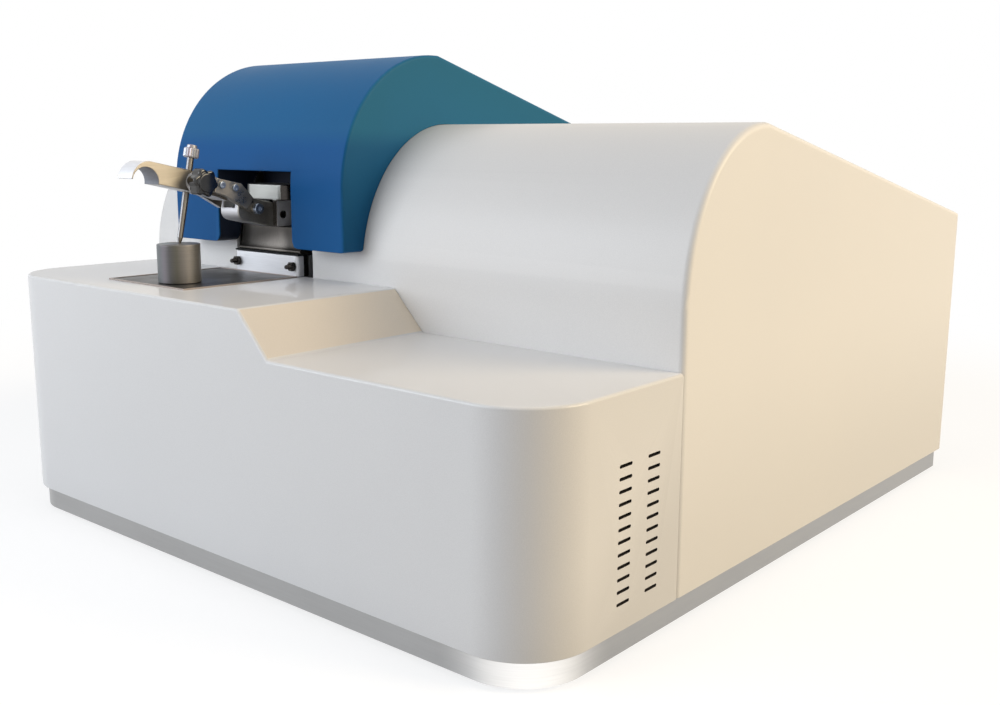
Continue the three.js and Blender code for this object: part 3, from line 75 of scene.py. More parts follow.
def make_camera():
    yaw, pitch, roll = (math.radians(v) for v in CAMERA_DEGREES)
    ahead = Vector((-math.sin(yaw) * math.cos(pitch), math.cos(yaw) * math.cos(pitch), math.sin(pitch)))
    right = Vector((math.cos(yaw), math.sin(yaw), 0))
    up = right.cross(ahead)
    side = right * math.cos(roll) + up * math.sin(roll)
    top = up * math.cos(roll) - right * math.sin(roll)
    camera = bpy.data.objects.new("camera", bpy.data.cameras.new("camera"))
    camera.data.sensor_width, camera.data.lens = CAMERA_SENSOR, CAMERA_LENS
    camera.data.clip_start, camera.data.clip_end = 0.02, 60
    turn = Matrix((side, top, -ahead)).transposed().to_4x4()
    camera.matrix_world = Matrix.Translation(CAMERA_PLACE) @ turn
    scene.collection.objects.link(camera)
    scene.camera = camera


make_camera()


# Share of a noise texture's values that is spread over a range
NOISE_LOW, NOISE_HIGH = 0.3, 0.7


# Node graphs of the materials. Every piece's own coordinates are those of the frame
class Graph:
    def __init__(self, tree):
        self.tree = tree
        tree.nodes.clear()

    def node(self, kind, inputs=(), **settings):
        made = self.tree.nodes.new(kind)
        for key, value in settings.items():
            setattr(made, key, value)
        for key, value in dict(inputs).items():
            if isinstance(value, bpy.types.NodeSocket):
                self.tree.links.new(value, made.inputs[key])
            else:
                made.inputs[key].default_value = value
        return made

    def math(self, operation, a, b=0.0, clamp=False):
        return self.node("ShaderNodeMath", {0: a, 1: b}, operation=operation, use_clamp=clamp).outputs[0]

    def ranged(self, value, low, high, to_low, to_high, smooth=False):
        return self.node(
            "ShaderNodeMapRange", {0: value, 1: low, 2: high, 3: to_low, 4: to_high},
            interpolation_type="SMOOTHSTEP" if smooth else "LINEAR").outputs[0]

    def varied(self, noise, middle, reach):
        return self.ranged(noise, NOISE_LOW, NOISE_HIGH, middle - reach, middle + reach)

    def mix(self, factor, a, b, blend="MIX"):
        inputs = {0: factor, 6: a, 7: b}
        return self.node("ShaderNodeMix", inputs, data_type="RGBA", blend_type=blend).outputs[2]

    def grey(self, level):
        return self.node("ShaderNodeCombineColor", {0: level, 1: level, 2: level}).outputs[0]

    def noise(self, place, scale, detail=2.0, stretch=(1, 1, 1)):
        if stretch != (1, 1, 1):
            place = self.node("ShaderNodeMapping", {0: place, 3: stretch}).outputs[0]
        return self.node("ShaderNodeTexNoise", {"Vector": place, "Scale": scale, "Detail": detail}).outputs[0]

    def place(self):
        return self.node("ShaderNodeTexCoord").outputs["Object"]

    def surface(self, output):
        return self.node("ShaderNodeNewGeometry").outputs[output]

    def away(self, place, start):
        return self.node("ShaderNodeVectorMath", {0: place, 1: tuple(start)}, operation="SUBTRACT").outputs[0]

    def along(self, away, line):
        inputs = {0: away, 1: tuple(line)}
        return self.node("ShaderNodeVectorMath", inputs, operation="DOT_PRODUCT").outputs["Value"]

    def axis(self, vector, index):
        return self.node("ShaderNodeSeparateXYZ", {0: vector}).outputs[index]


def rgba(color):
    return (*color, 1.0)


# Rubbed edges: their colour against the finish's own, and the pointiness where they start and are full
EDGE_LIGHT, EDGE_START, EDGE_FULL = 1.35, 0.515, 0.57
BUMP_STRENGTH = 0.6


# A place for grain that runs in rings round an upright axis
def ringed(g, place, centre):
    away = g.away(place, centre)
    squares = [g.math("POWER", g.axis(away, index), 2.0) for index in (0, 1)]
    radius = g.math("SQRT", g.math("ADD", *squares))
    return g.node("ShaderNodeCombineXYZ", {0: radius, 1: g.axis(away, 2)}).outputs[0]


# A finish: colour clouds, fine specks, rubbed edges, and roughness and bump from the same grain. cloud and
# speck are (scale, strength), bump is (scale, depth), turned is the centre of a turned grain, and a level and
# a colour can be given to multiply with; both carry painted light and shade
def finish(name, color, rough, metal=0.0, cloud=(6, 0.03), speck=(1400, 0.04), edge=0.1, stretch=(1, 1, 1),
           bump=(700, 0.00002), rough_vary=0.05, turned=None, painted_light_level=None, painted_light_tint=None, **sockets):
    material = bpy.data.materials.new(name)
    material.use_nodes = True
    g = Graph(material.node_tree)
    place = g.place()
    grain_place = ringed(g, place, turned) if turned else place
    clouds = g.noise(place, cloud[0], 4.0)
    specks = g.noise(grain_place, speck[0], 3.0, stretch)
    level = g.math("MULTIPLY", g.varied(clouds, 1, cloud[1]), g.varied(specks, 1, speck[1]))
    if painted_light_level:
        level = g.math("MULTIPLY", level, painted_light_level(g))
    base = g.mix(1.0, rgba(color), g.grey(level), "MULTIPLY")
    if painted_light_tint:
        base = g.mix(1.0, base, painted_light_tint(g), "MULTIPLY")
    sharp = g.ranged(g.surface("Pointiness"), EDGE_START, EDGE_FULL, 0.0, edge)
    base = g.mix(sharp, base, rgba(min(1.0, v * EDGE_LIGHT) for v in color))
    spread = g.varied(clouds, rough, rough_vary)
    spread = g.math("ADD", spread, g.varied(specks, 0, rough_vary / 2), clamp=True)
    height = g.noise(grain_place, bump[0], 3.0, stretch)
    relief = {"Strength": BUMP_STRENGTH, "Distance": bump[1], "Height": height}
    normal = g.node("ShaderNodeBump", relief).outputs[0]
    shader = g.node("ShaderNodeBsdfPrincipled", {
        "Base Color": base, "Roughness": spread, "Metallic": metal, "Normal": normal,
        **{key.replace("_", " "): value for key, value in sockets.items()}})
    g.node("ShaderNodeOutputMaterial", {0: shader.outputs[0]})
    return material


# Painted highlight: brighter where the plinth turns the right front corner, which is where x - y is greatest
CORNER_START, CORNER_END, CORNER_HIGHLIGHT_GAIN = 0.578, 0.6343, 1.75


def painted_corner_highlight(g):
    place = g.place()
    reach = g.math("SUBTRACT", g.axis(place, 0), g.axis(place, 1))
    rise = g.ranged(reach, CORNER_START, CORNER_END, 0.0, 1.0)
    return g.math("ADD", 1.0, g.math("MULTIPLY", CORNER_HIGHLIGHT_GAIN, g.math("POWER", rise, 2.0)))


# The hood's paint with painted light: a painted sheen makes the crown greyer and lighter than below, and
# painted warm light makes the two sides greener
CROWN_LOW, CROWN_HIGH = 0.339, 0.36


def painted_crown_sheen_and_side_light(g):
    crown = g.ranged(g.axis(g.place(), 2), CROWN_LOW, CROWN_HIGH, 0.0, 1.0, smooth=True)
    turn = g.math("ABSOLUTE", g.axis(g.surface("True Normal"), 0))
    aside = g.ranged(turn, 0.3, 0.9, 0.0, 1.0, smooth=True)
    ahead = g.mix(crown, rgba((0.26, 0.75, 0.98)), rgba((1.0, 1.0, 0.97)))
    across = g.mix(crown, rgba((0.26, 0.67, 0.64)), rgba((0.82, 1.06, 0.78)))
    return g.mix(aside, ahead, across)


# Painted warm light on the slope's paint: warmer, and a little brighter toward the rear
SLOPE_FRONT, SLOPE_REAR = -0.353, -0.19


def painted_slope_light(g):
    rear = g.ranged(g.axis(g.place(), 1), SLOPE_FRONT, SLOPE_REAR, 0.0, 1.0)
    return g.mix(rear, rgba((0.79, 0.83, 0.92)), rgba((1.0, 1.0, 1.0)))


# Painted reflections in lengthwise bands round a round piece: stops are (degrees round its axis, colour)
def painted_reflection_bands(centre, across, stops):
    def painted_light_tint(g):
        away = g.away(g.place(), centre)
        turn = g.math("ARCTAN2", g.along(away, across), g.axis(away, 0))
        ramp = g.node("ShaderNodeValToRGB", {0: g.ranged(turn, -math.pi, math.pi, 0.0, 1.0)})
        elements = ramp.color_ramp.elements
        for degrees, color in stops:
            elements.new(degrees / 360 + 0.5).color = rgba(color)
        elements.remove(elements[0])
        elements.remove(elements[-1])
        return ramp.outputs[0]
    return painted_light_tint


# Painted shade: darker at the start than at the end, and an even change between the two points
def painted_shade_fade(start, end, least):
    def painted_light_level(g):
        line = end - start
        along = g.along(g.away(g.place(), start), line)
        return g.ranged(along, 0.0, line.length_squared, least, 1.0, smooth=True)
    return painted_light_level


# Painted shading: another level where a face looks to either side, from low to high share of its normal; below
# one it is painted shade, above one painted light
def painted_side_shading(low, high, level):
    def painted_light_level(g):
        turn = g.math("ABSOLUTE", g.axis(g.surface("Normal"), 0))
        return g.ranged(turn, low, high, 1.0, level, smooth=True)
    return painted_light_level


def both(first, second):
    return lambda g: g.math("MULTIPLY", first(g), second(g))


def pearl(name, coat, gloss, color, painted_light_level=None, painted_light_tint=None):
    return finish(
        name, color, 0.45, 0.0, (5, 0.012), (1600, 0.035), 0.12, bump=(1500, 0.000015), rough_vary=0.04,
        painted_light_level=painted_light_level, painted_light_tint=painted_light_tint, Specular_IOR_Level=0.3, Coat_Weight=coat, Coat_Roughness=gloss)


# Grain drawn out along one or two axes
ALONG_X, ALONG_Y, ALONG_XY = (0.05, 1, 1), (1, 0.05, 1), (0.03, 0.03, 1)
ALONG_Z, FINE_ALONG_Z = (1, 1, 0.04), (1, 1, 0.02)

# The front housing's paint, with painted shade on faces that look to either side and toward its bottom and rear
PEARL = pearl(
    "pearl_paint", 0.35, 0.06, (0.70, 0.69, 0.68),
    both(painted_side_shading(0.1, 0.9, 0.92), painted_shade_fade(cabinet(640, 150, 40), cabinet(640, 90, 110), 0.8)))
# A darker copy of the housing paint for the rear housing: painted shade on its hump and toward its bottom, and
# painted light on its sides
SHELL_PAINTED_SHADING = pearl(
    "shell_paint_painted_shading", 0.1, 0.25, (0.675, 0.66, 0.64),
    both(painted_side_shading(0.5, 0.9, 1.09), painted_shade_fade(cabinet(640, 350, -10), cabinet(640, 350, 190), 0.84)))
# A warmer copy of the housing paint for the slope: painted warm light
SLOPE_PAINTED_LIGHT = pearl("slope_paint_painted_light", 0.3, 0.15, (0.77, 0.68, 0.56), painted_light_tint=painted_slope_light)
# The hood's blue paint, with painted shade toward its bottom, a painted sheen on its crown and painted warm
# light on its sides
BLUE = finish(
    "blue_paint", (0.015, 0.109, 0.262), 0.5, 0.0, (5, 0.04), (1600, 0.08), 0.25, bump=(1500, 0.00002),
    rough_vary=0.04, painted_light_level=painted_shade_fade(cabinet(200, 141, 225), cabinet(200, 141, 385), 0.85), painted_light_tint=painted_crown_sheen_and_side_light,
    Specular_IOR_Level=0.1)
# Painted shade: a very dark copy of the hood's blue, for the recess liner and the hood's faces inside and in
# the notch
NAVY_SHADE = finish("recess_painted_shade", (0.008, 0.015, 0.036), 0.6, 0.0, (9, 0.08), (900, 0.1), 0.05)
# Painted shade: near-black on the housings' faces inside and in their slots
INSIDE_SHADE = finish("inner_painted_shade", (0.012, 0.009, 0.008), 0.7, 0.0, (9, 0.08), (700, 0.1), 0.0)
# The plinth's steel, with a painted highlight on its right front corner
PLINTH = finish(
    "plinth_steel", (0.36, 0.36, 0.36), 0.34, 0.9, (6, 0.02), (900, 0.03), 0.0, ALONG_XY, painted_light_level=painted_corner_highlight)
SATIN = finish(
    "satin_aluminium", (0.73, 0.735, 0.76), 0.42, 0.35, (9, 0.03), (900, 0.04), 0.15, ALONG_X)
MILLED = finish(
    "milled_steel", (0.43, 0.43, 0.45), 0.4, 0.95, (30, 0.08), (900, 0.06), 0.2, ALONG_X,
    rough_vary=0.06)
BLOCK = finish(
    "block_steel", (0.33, 0.335, 0.32), 0.4, 0.95, (30, 0.08), (900, 0.06), 0.2, ALONG_X,
    rough_vary=0.06)
BRUSHED = finish(
    "brushed_steel", (0.25, 0.245, 0.24), 0.42, 0.8, (14, 0.1), (900, 0.12), 0.2, ALONG_Z, rough_vary=0.08)
# The column's steel, with painted shade toward its top left and its right end, which leaves a painted highlight
# low between them
COLUMN = finish(
    "column_steel", (0.18, 0.165, 0.15), 0.36, 0.85, (22, 0.25), (900, 0.12), 0.2, ALONG_Z,
    rough_vary=0.08, Specular_IOR_Level=0.3,
    painted_light_level=both(painted_shade_fade(cabinet(190, 160, 246), cabinet(200, 160, 222), 0.15),
              painted_shade_fade(cabinet(218, 160, 236), cabinet(205, 160, 232), 0.2)))
# Painted shade: a darker copy of the steel for the support arm's sides and the bracket's lower web
SHADED_STEEL = finish(
    "shaded_side_steel", (0.35, 0.34, 0.315), 0.4, 0.85, (40, 0.15), (900, 0.12), 0.3, rough_vary=0.1,
    Specular_IOR_Level=0.25)
# Blackened steel for the fence studs and nuts; elsewhere the same near-black is painted shade: on the fence's
# rear, the bracket's end, web front and pin, and the support arm's slot
BLACKED_AND_SHADE = finish(
    "blackened_steel_and_painted_shade", (0.05, 0.045, 0.042), 0.26, 0.9, (90, 0.3), (900, 0.2), 0.6, rough_vary=0.1)
BOLT = finish("zinc_bolt", (0.30, 0.35, 0.43), 0.3, 0.9, (40, 0.1), (900, 0.08), 0.3)
WORN = finish("worn_steel", (0.27, 0.25, 0.215), 0.34, 0.9, (90, 0.4), (900, 0.12), 0.6, rough_vary=0.1)
# The lever's sides: a warm painted reflection on the steel, with painted shade toward the knob
HANDLE_WARM_REFLECTION = finish(
    "handle_steel_warm_reflection", (0.43, 0.385, 0.31), 0.4, 0.4, (20, 0.04), (700, 0.04), 0.2, ALONG_Y,
    rough_vary=0.04, painted_light_level=painted_shade_fade(pitched(202, -61, 8), pitched(202, -90, 12), 0.15))
# Painted shade in the lever's finger recess
RECESS_SHADE = finish("recess_steel_painted_shade", (0.18, 0.19, 0.22), 0.4, 0.3, (60, 0.1), (900, 0.1), 0.1)
# The rod's drawn steel, with bands of painted reflection along it
DRAWN = finish(
    "drawn_steel", (0.20, 0.20, 0.195), 0.26, 0.7, (50, 0.05), (420, 0.12), 0.1, FINE_ALONG_Z,
    rough_vary=0.04, painted_light_tint=painted_reflection_bands(pitched(CLAMP_X, ROD_A, 0), BACKWARD, (
        (-135, (0.4, 0.38, 0.38)), (-88, (1.25, 1.3, 1.4)), (-56, (0.6, 0.48, 0.42)),
        (-17, (1.5, 1.35, 1.1)), (12, (0.35, 0.3, 0.27)), (80, (0.9, 0.88, 0.84)))))
# The sample's turned steel, with bands of painted reflection round it
SAMPLE = finish(
    "sample_steel", (0.31, 0.295, 0.275), 0.46, 0.7, (30, 0.06), (2600, 0.14), 0.25, bump=(2600, 0.00003),
    rough_vary=0.08, turned=cabinet(SAMPLE_X, SAMPLE_Y, SAMPLE_Z),
    painted_light_tint=painted_reflection_bands(cabinet(SAMPLE_X, SAMPLE_Y, SAMPLE_Z), (0, 1, 0), (
        (-150, (0.5, 0.58, 0.66)), (-102, (0.49, 0.57, 0.64)), (-77, (0.38, 0.36, 0.42)),
        (-60, (0.26, 0.26, 0.28)), (-40, (0.38, 0.37, 0.31)), (-24, (0.65, 0.62, 0.58)),
        (-6, (0.8, 0.78, 0.76)), (6, (0.78, 0.76, 0.70)), (30, (0.5, 0.47, 0.4)), (70, (0.6, 0.6, 0.6)))))
PLATE = finish(
    "table_steel", (0.075, 0.07, 0.066), 0.42, 0.85, (30, 0.25), (1500, 0.4), 0.1, rough_vary=0.1)
RIM = finish("rim_steel", (0.34, 0.29, 0.26), 0.55, 0.4, (20, 0.06), (900, 0.05), 0.1)
BLACK = finish(
    "black_plastic", (0.012, 0.012, 0.013), 0.42, 0.0, (12, 0.1), (1200, 0.12), 0.15, bump=(1100, 0.00004))
KNOB = finish(
    "knob_plastic", (0.004, 0.0035, 0.0035), 0.09, 0.0, (40, 0.1), (900, 0.1), 0.1, bump=(300, 0.00001),
    rough_vary=0.02, Specular_IOR_Level=0.75)
RUBBER = finish(
    "black_rubber", (0.012, 0.012, 0.012), 0.85, 0.0, (20, 0.15), (900, 0.2), 0.1, bump=(900, 0.00008),
    Specular_IOR_Level=0.2)
CERAMIC = finish("white_ceramic", (0.72, 0.68, 0.6), 0.5, 0.0, (30, 0.03), (900, 0.04), 0.1)
TUNGSTEN = finish("tungsten", (0.16, 0.17, 0.18), 0.32, 0.95, (60, 0.08), (900, 0.1), 0.2)
CAST = finish(
    "cast_aluminium", (0.46, 0.47, 0.47), 0.55, 0.7, (20, 0.06), (450, 0.1), 0.2, bump=(450, 0.00012))
SHEET = finish("zinc_sheet", (0.50, 0.51, 0.52), 0.42, 0.7, (5, 0.02), (260, 0.05), 0.15)
# The rod head's fluted steel, with bands of painted reflection along it
FLUTED = finish(
    "fluted_steel", (0.38, 0.39, 0.42), 0.36, 0.6, (60, 0.05), (900, 0.06), 0.3,
    painted_light_tint=painted_reflection_bands(pitched(CLAMP_X, ROD_A, 0), BACKWARD, (
        (-135, (0.8, 0.8, 0.85)), (-85, (1.2, 1.2, 1.2)), (-52, (0.72, 0.58, 0.6)),
        (-17, (1.1, 1.06, 0.95)), (20, (0.6, 0.56, 0.56)))))
BRASS = finish("brass", (0.62, 0.42, 0.15), 0.27, 0.95, (40, 0.06), (900, 0.06), 0.2)
GLASS = finish("coated_glass", (0.55, 0.72, 0.78), 0.08, 0.0, (20, 0.03), (400, 0.02), 0.0, Coat_Weight=0.5)
BOARD = finish("board_green", (0.02, 0.12, 0.045), 0.5, 0.0, (60, 0.12), (900, 0.1), 0.0)
TUBE = finish(
    "clear_tube", (0.62, 0.68, 0.66), 0.3, 0.0, (20, 0.04), (900, 0.03), 0.0, Transmission_Weight=0.4)

# The bracket pin's near-black stands for painted shade in a hole, and the recess liner's very dark blue is
# painted shade
LOOKS = {
    "front_housing": PEARL, "rear_housing": SHELL_PAINTED_SHADING, "spark_stand_hood": BLUE, "recess_liner": NAVY_SHADE,
    "base_plinth": PLINTH, "floor_plate": SHEET, "rear_panel": SHEET, "foot_front_left": RUBBER,
    "foot_front_right": RUBBER, "foot_rear_left": RUBBER, "foot_rear_right": RUBBER,
    "table_plate": PLATE, "table_rim": RIM, "aperture_insert": CERAMIC, "sample_disc": SAMPLE,
    "stand_body": CAST, "stand_frame": CAST, "electrode_holder": BRASS, "counter_electrode": TUNGSTEN,
    "light_pipe": CAST, "table_fence": SATIN, "fence_stud_left": BLACKED_AND_SHADE, "fence_stud_right": BLACKED_AND_SHADE,
    "fence_nut_left": BLACKED_AND_SHADE, "fence_nut_right": BLACKED_AND_SHADE, "clamp_block": CAST, "column_gasket": RUBBER,
    "clamp_column": COLUMN, "clamp_bracket": BLOCK, "bracket_pin": BLACKED_AND_SHADE, "support_arm": MILLED,
    "hinge_bolt": BOLT, "clamp_lever": HANDLE_WARM_REFLECTION, "side_link": WORN, "clamp_rod": DRAWN,
    "rod_head": FLUTED, "lock_knob": KNOB, "lock_screw": BRUSHED, "fan_frame": BLACK,
    "fan_rotor": BLACK, "fan_guard": BRUSHED, "power_inlet": BLACK, "switch_frame": BLACK,
    "power_rocker": BLACK, "data_port": BRUSHED, "argon_inlet": BRASS, "argon_outlet": BRASS,
    "optical_chamber": CAST, "chamber_lid": CAST, "entrance_lens": GLASS, "entrance_slit": BRUSHED,
    "grating": GLASS, "grating_mount": CAST, "detector_array": BLACK, "power_supply": SHEET,
    "spark_source": CERAMIC, "controller_board": BOARD, "argon_manifold": BRASS, "argon_line": TUBE,
}
BODY_OF = {n: b for b, names in frame["record"]["behaviour"]["bodies"].items() for n in names}
for name, node in frame["nodes"].items():
    node.data.materials.clear()
    node.data.materials.append(LOOKS[name])

SMOOTH_ANGLE = math.radians(32)
BEVEL_ANGLE = math.radians(25)
WELD, FLAT_ANGLE = 3e-6, math.radians(0.4)
RAY_START, RAY_LENGTH = 1e-5, 0.45


# Corner normals weighted by area, so that a broad flat stays flat beside its bevels
def weigh_normals(mesh):
    faces = [(face.normal.copy(), face.area) for face in mesh.polygons]
    around = [[] for _ in mesh.vertices]
    for face in mesh.polygons:
        for vertex in face.vertices:
            around[vertex].append(faces[face.index])
    least = math.cos(SMOOTH_ANGLE)
    normals = []
    for face in mesh.polygons:
        own = faces[face.index][0]
        for vertex in face.vertices:
            near = [normal * area for normal, area in around[vertex] if normal.dot(own) > least]
            total = sum(near, Vector())
            normals.append(total.normalized() if total.length > 0 else own)
    mesh.normals_split_custom_set(normals)


# A piece that rides on a body. One that stands for CAD nodes replaces them
def add(name, bm, materials, body, stands_for=()):
    mesh = bpy.data.meshes.new(name)
    bm.to_mesh(mesh)
    bm.free()
    mesh.polygons.foreach_set("use_smooth", [True] * len(mesh.polygons))
    mesh.set_sharp_from_angle(angle=SMOOTH_ANGLE)
    weigh_normals(mesh)
    for material in materials:
        mesh.materials.append(material)
    piece = bpy.data.objects.new(name, mesh)
    scene.collection.objects.link(piece)
    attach(piece, body)
    if stands_for:
        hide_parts(*stands_for)


def shown(node, bm, others=()):
    add(node + "_shown", bm, [LOOKS[node], *others], BODY_OF[node], [node])


# The node's own solid with its coplanar triangles joined again
def clean_copy(node):
    bm = bmesh.new()
    bm.from_mesh(frame["nodes"][node].data)
    bmesh.ops.remove_doubles(bm, verts=bm.verts, dist=WELD)
    bmesh.ops.dissolve_limit(
        bm, angle_limit=FLAT_ANGLE, verts=bm.verts, edges=bm.edges, use_dissolve_boundaries=False)
    return bm


# Rounds the edges for which rule(x, y, z) gives a radius in millimetres, the largest radius first
def soften(bm, rule, segments):
    bm.normal_update()
    radii = {}
    for edge in bm.edges:
        if len(edge.link_faces) == 2 and abs(edge.calc_face_angle(0)) > BEVEL_ANGLE:
            x, y, z = (v * 1000 for v in (edge.verts[0].co + edge.verts[1].co) / 2)
            radius = rule(x + HALF_WIDTH, y + HALF_DEPTH, z - BOTTOM)
            if radius:
                radii.setdefault(radius, []).append(edge)
    for radius in sorted(radii, reverse=True):
        edges = [e for e in radii[radius] if e.is_valid]
        bmesh.ops.bevel(
            bm, geom=edges, offset=radius / 1000, offset_type="OFFSET", segments=segments, profile=0.5,
            affect="EDGES", clamp_overlap=False, miter_outer="SHARP", loop_slide=True)
    return bm


# The node with soft edges. others is a list of (material, test of a face), and the last test that holds wins;
# cuts is a list of (place, normal) of planes where a change of material needs an edge
def dress(node, radius, segments=2, others=(), cuts=()):
    bm = soften(clean_copy(node), lambda x, y, z: radius, segments)
    for place, normal in cuts:
        geometry = bm.verts[:] + bm.edges[:] + bm.faces[:]
        bmesh.ops.bisect_plane(bm, geom=geometry, dist=1e-6, plane_co=place, plane_no=normal)
    bm.normal_update()
    tree = BVHTree.FromBMesh(bm)
    for face in bm.faces:
        for index, (_, test) in enumerate(others, 1):
            if test(face, tree):
                face.material_index = index
    shown(node, bm, [material for material, _ in others])


def room_before(face, tree):
    start = face.calc_center_median() + face.normal * RAY_START
    return tree.ray_cast(start, face.normal, RAY_LENGTH)[3] or 0


# The second material on faces that look at another face of the same solid, more than the least room away:
# painted shade inside its hollows and slots
def split_inside(bm, least, extra=lambda centre: False):
    tree = BVHTree.FromBMesh(bm)
    for face in bm.faces:
        if room_before(face, tree) > least or extra(face.calc_center_median()):
            face.material_index = 1


# Covers. Their rules give the radius of an edge by its place
PLATFORM_TOP, SHELF_TOP, SLOPE_TOP_X, SLOPE_FOOT_X = 202, 167, 354, 388
FRONT_BACK, REAR_BACK, FOOT_Z, HOOD_FOOT_Z = 162, 705, 0.3, 230.6
SLOPE_NORMAL = Vector((PLATFORM_TOP - SHELF_TOP, 0, SLOPE_FOOT_X - SLOPE_TOP_X)).normalized()
OWN_GAP, NARROW_GAP = 0.0014, 0.0012


def front_rule(x, y, z):
    if x < SLOPE_TOP_X:
        top = PLATFORM_TOP
    elif x > SLOPE_FOOT_X:
        top = SHELF_TOP
    else:
        top = PLATFORM_TOP - (x - SLOPE_TOP_X) * (PLATFORM_TOP - SHELF_TOP) / (SLOPE_FOOT_X - SLOPE_TOP_X)
    at_table = 120 < x < 238 and 32 < y < 157
    if at_table:
        return 0.3 if z > PLATFORM_TOP - 4 else 0
    if y > FRONT_BACK:
        return 0.35
    if z > top - 0.6:
        return 2.2
    return 0.6 if z < FOOT_Z else 0


def rear_rule(x, y, z):
    at_notch = 135 < x < 249 and y < 276 and 203 < z < 302
    if at_notch:
        return 2.4 if y < 164 else 0
    return 0.5 if z < FOOT_Z or y > REAR_BACK else 0


def hood_rule(x, y, z):
    at_notch = 139 < x < 249 and z < 299 and y < 142
    if at_notch:
        return 1.2
    return 0.8 if z < HOOD_FOOT_Z else 0


front = soften(clean_copy("front_housing"), front_rule, 4)
split_inside(front, OWN_GAP)
# The slope's faces take that copy, with its painted warm light
for face in front.faces:
    if face.normal.dot(SLOPE_NORMAL) > 0.995 and face.material_index == 0:
        face.material_index = 2
shown("front_housing", front, [INSIDE_SHADE, SLOPE_PAINTED_LIGHT])

rear = soften(clean_copy("rear_housing"), rear_rule, 4)
split_inside(rear, OWN_GAP)
shown("rear_housing", rear, [INSIDE_SHADE])

# The hood's faces inside, and those in the notch, take the very dark blue of painted shade
hood = soften(clean_copy("spark_stand_hood"), hood_rule, 3)
notch_low, notch_high = cabinet(132, 142.5, 228), cabinet(246.7, 400, 299)
split_inside(hood, NARROW_GAP, lambda centre: all(notch_low[i] <= centre[i] <= notch_high[i] for i in range(3)))
add("hood_shown", hood, [BLUE, NAVY_SHADE], "cabinet", ["spark_stand_hood"])

dress("base_plinth", 0.5)

# Spark table, and the clamp's pieces that keep their CAD outline
FENCE_MIDDLE, BLOCK_BOTTOM, BLOCK_DARK = cabinet(0, 163, 0), cabinet(0, 0, 271), cabinet(215, 0, 0)
RECESS_A, RECESS_B, RECESS_REACH = -107.4, 3.8, 12.4


def behind_fence(face, tree):
    return face.calc_center_median().y > FENCE_MIDDLE.y


def at_dark_end(face, tree):
    return face.calc_center_median().x > BLOCK_DARK.x


def under_block(face, tree):
    return face.calc_center_median().z < BLOCK_BOTTOM.z


def in_recess(face, tree):
    place = CLAMP.inverted() @ face.calc_center_median()
    return abs(face.normal.x) < 0.6 and math.hypot(place.y - RECESS_A, place.z - RECESS_B) < RECESS_REACH


for node in ("table_rim", "table_plate"):
    dress(node, 0.25)
# The fence's rear part takes near-black: a painted shadow in the gap behind the fence
dress("table_fence", 0.8, 3, [(BLACKED_AND_SHADE, behind_fence)], [(FENCE_MIDDLE, (0, 1, 0))])
dress("clamp_column", 0.5)
# The bracket's right end takes near-black painted shade; its lower web takes the darker steel of painted shade,
# with a lighter satin right side for painted light and a near-black front for painted shade
dress("clamp_bracket", 1.0, 3, [
    (BLACKED_AND_SHADE, at_dark_end),
    (SHADED_STEEL, under_block),
    (SATIN, lambda face, tree: under_block(face, tree) and face.normal.x > 0.9),
    (BLACKED_AND_SHADE, lambda face, tree: under_block(face, tree) and face.normal.y < -0.3),
], [(BLOCK_BOTTOM, (0, 0, 1)), (BLOCK_DARK, (1, 0, 0))])
# The support arm's sides take the darker steel of painted shade, and faces in its slot near-black painted shade
dress("support_arm", 0.4, others=[
    (SHADED_STEEL, lambda face, tree: face.normal.x > 0.3),
    (BLACKED_AND_SHADE, lambda face, tree: room_before(face, tree) > NARROW_GAP)])
# The lever's faces that look sideways keep the warm painted reflection, the others take the satin aluminium,
# and the finger recess takes painted shade
dress("clamp_lever", 0.4, others=[(SATIN, lambda face, tree: abs(face.normal.x) < 0.6), (RECESS_SHADE, in_recess)])
dress("side_link", 0.7)
dress("column_gasket", 0.3)


# Round and threaded pieces, turned finer than their CAD solids. Millimetres in the place given
def spot(x, y, z, axis="z", base=CABINET):
    return base @ Matrix.Translation((x, y, z)) @ AXES[axis]


# Rounds each inner corner of a profile
def eased(points, radius=0.4, steps=4):
    out = [points[0]]
    for before, here, after in zip(points, points[1:], points[2:]):
        p, h, n = Vector(before), Vector(here), Vector(after)
        reach = min(radius, (p - h).length * 0.45, (n - h).length * 0.45)
        a, b = h + (p - h).normalized() * reach, h + (n - h).normalized() * reach
        for k in range(steps + 1):
            t = k / steps
            out.append(tuple(a * (1 - t) ** 2 + h * 2 * t * (1 - t) + b * t * t))
    return out + [points[-1]]


# Turns a profile of (radius, height) round the place's z axis; shape(turn, radius) moves the rim in or out
def lathe(bm, profile, place, segments=96, shape=None, closed=False):
    rings = []
    for radius, height in profile:
        if radius < 1e-6:
            rings.append([bm.verts.new(place @ Vector((0, 0, height)))])
            continue
        ring = []
        for i in range(segments):
            turn = 2 * math.pi * i / segments
            reach = shape(turn, radius) if shape else radius
            rim = Vector((reach * math.cos(turn), reach * math.sin(turn), height))
            ring.append(bm.verts.new(place @ rim))
        rings.append(ring)
    pairs = list(zip(rings, rings[1:]))
    if closed:
        pairs.append((rings[-1], rings[0]))
    made = []
    for low, high in pairs:
        for i in range(segments):
            j = (i + 1) % segments
            corners = [low[i % len(low)], low[j % len(low)], high[j % len(high)], high[i % len(high)]]
            corners = list(dict.fromkeys(corners))
            if len(corners) > 2:
                made.append(bm.faces.new(corners))
    bmesh.ops.recalc_face_normals(bm, faces=made)
    return bm


def hexed(across):
    def shape(turn, radius):
        corner = math.radians(60)
        return min(radius, across / 2 / math.cos((turn % corner) - corner / 2))
    return shape


def turned(node, profile, place, segments=96, shape=None):
    shown(node, lathe(bmesh.new(), profile, place, segments, shape))


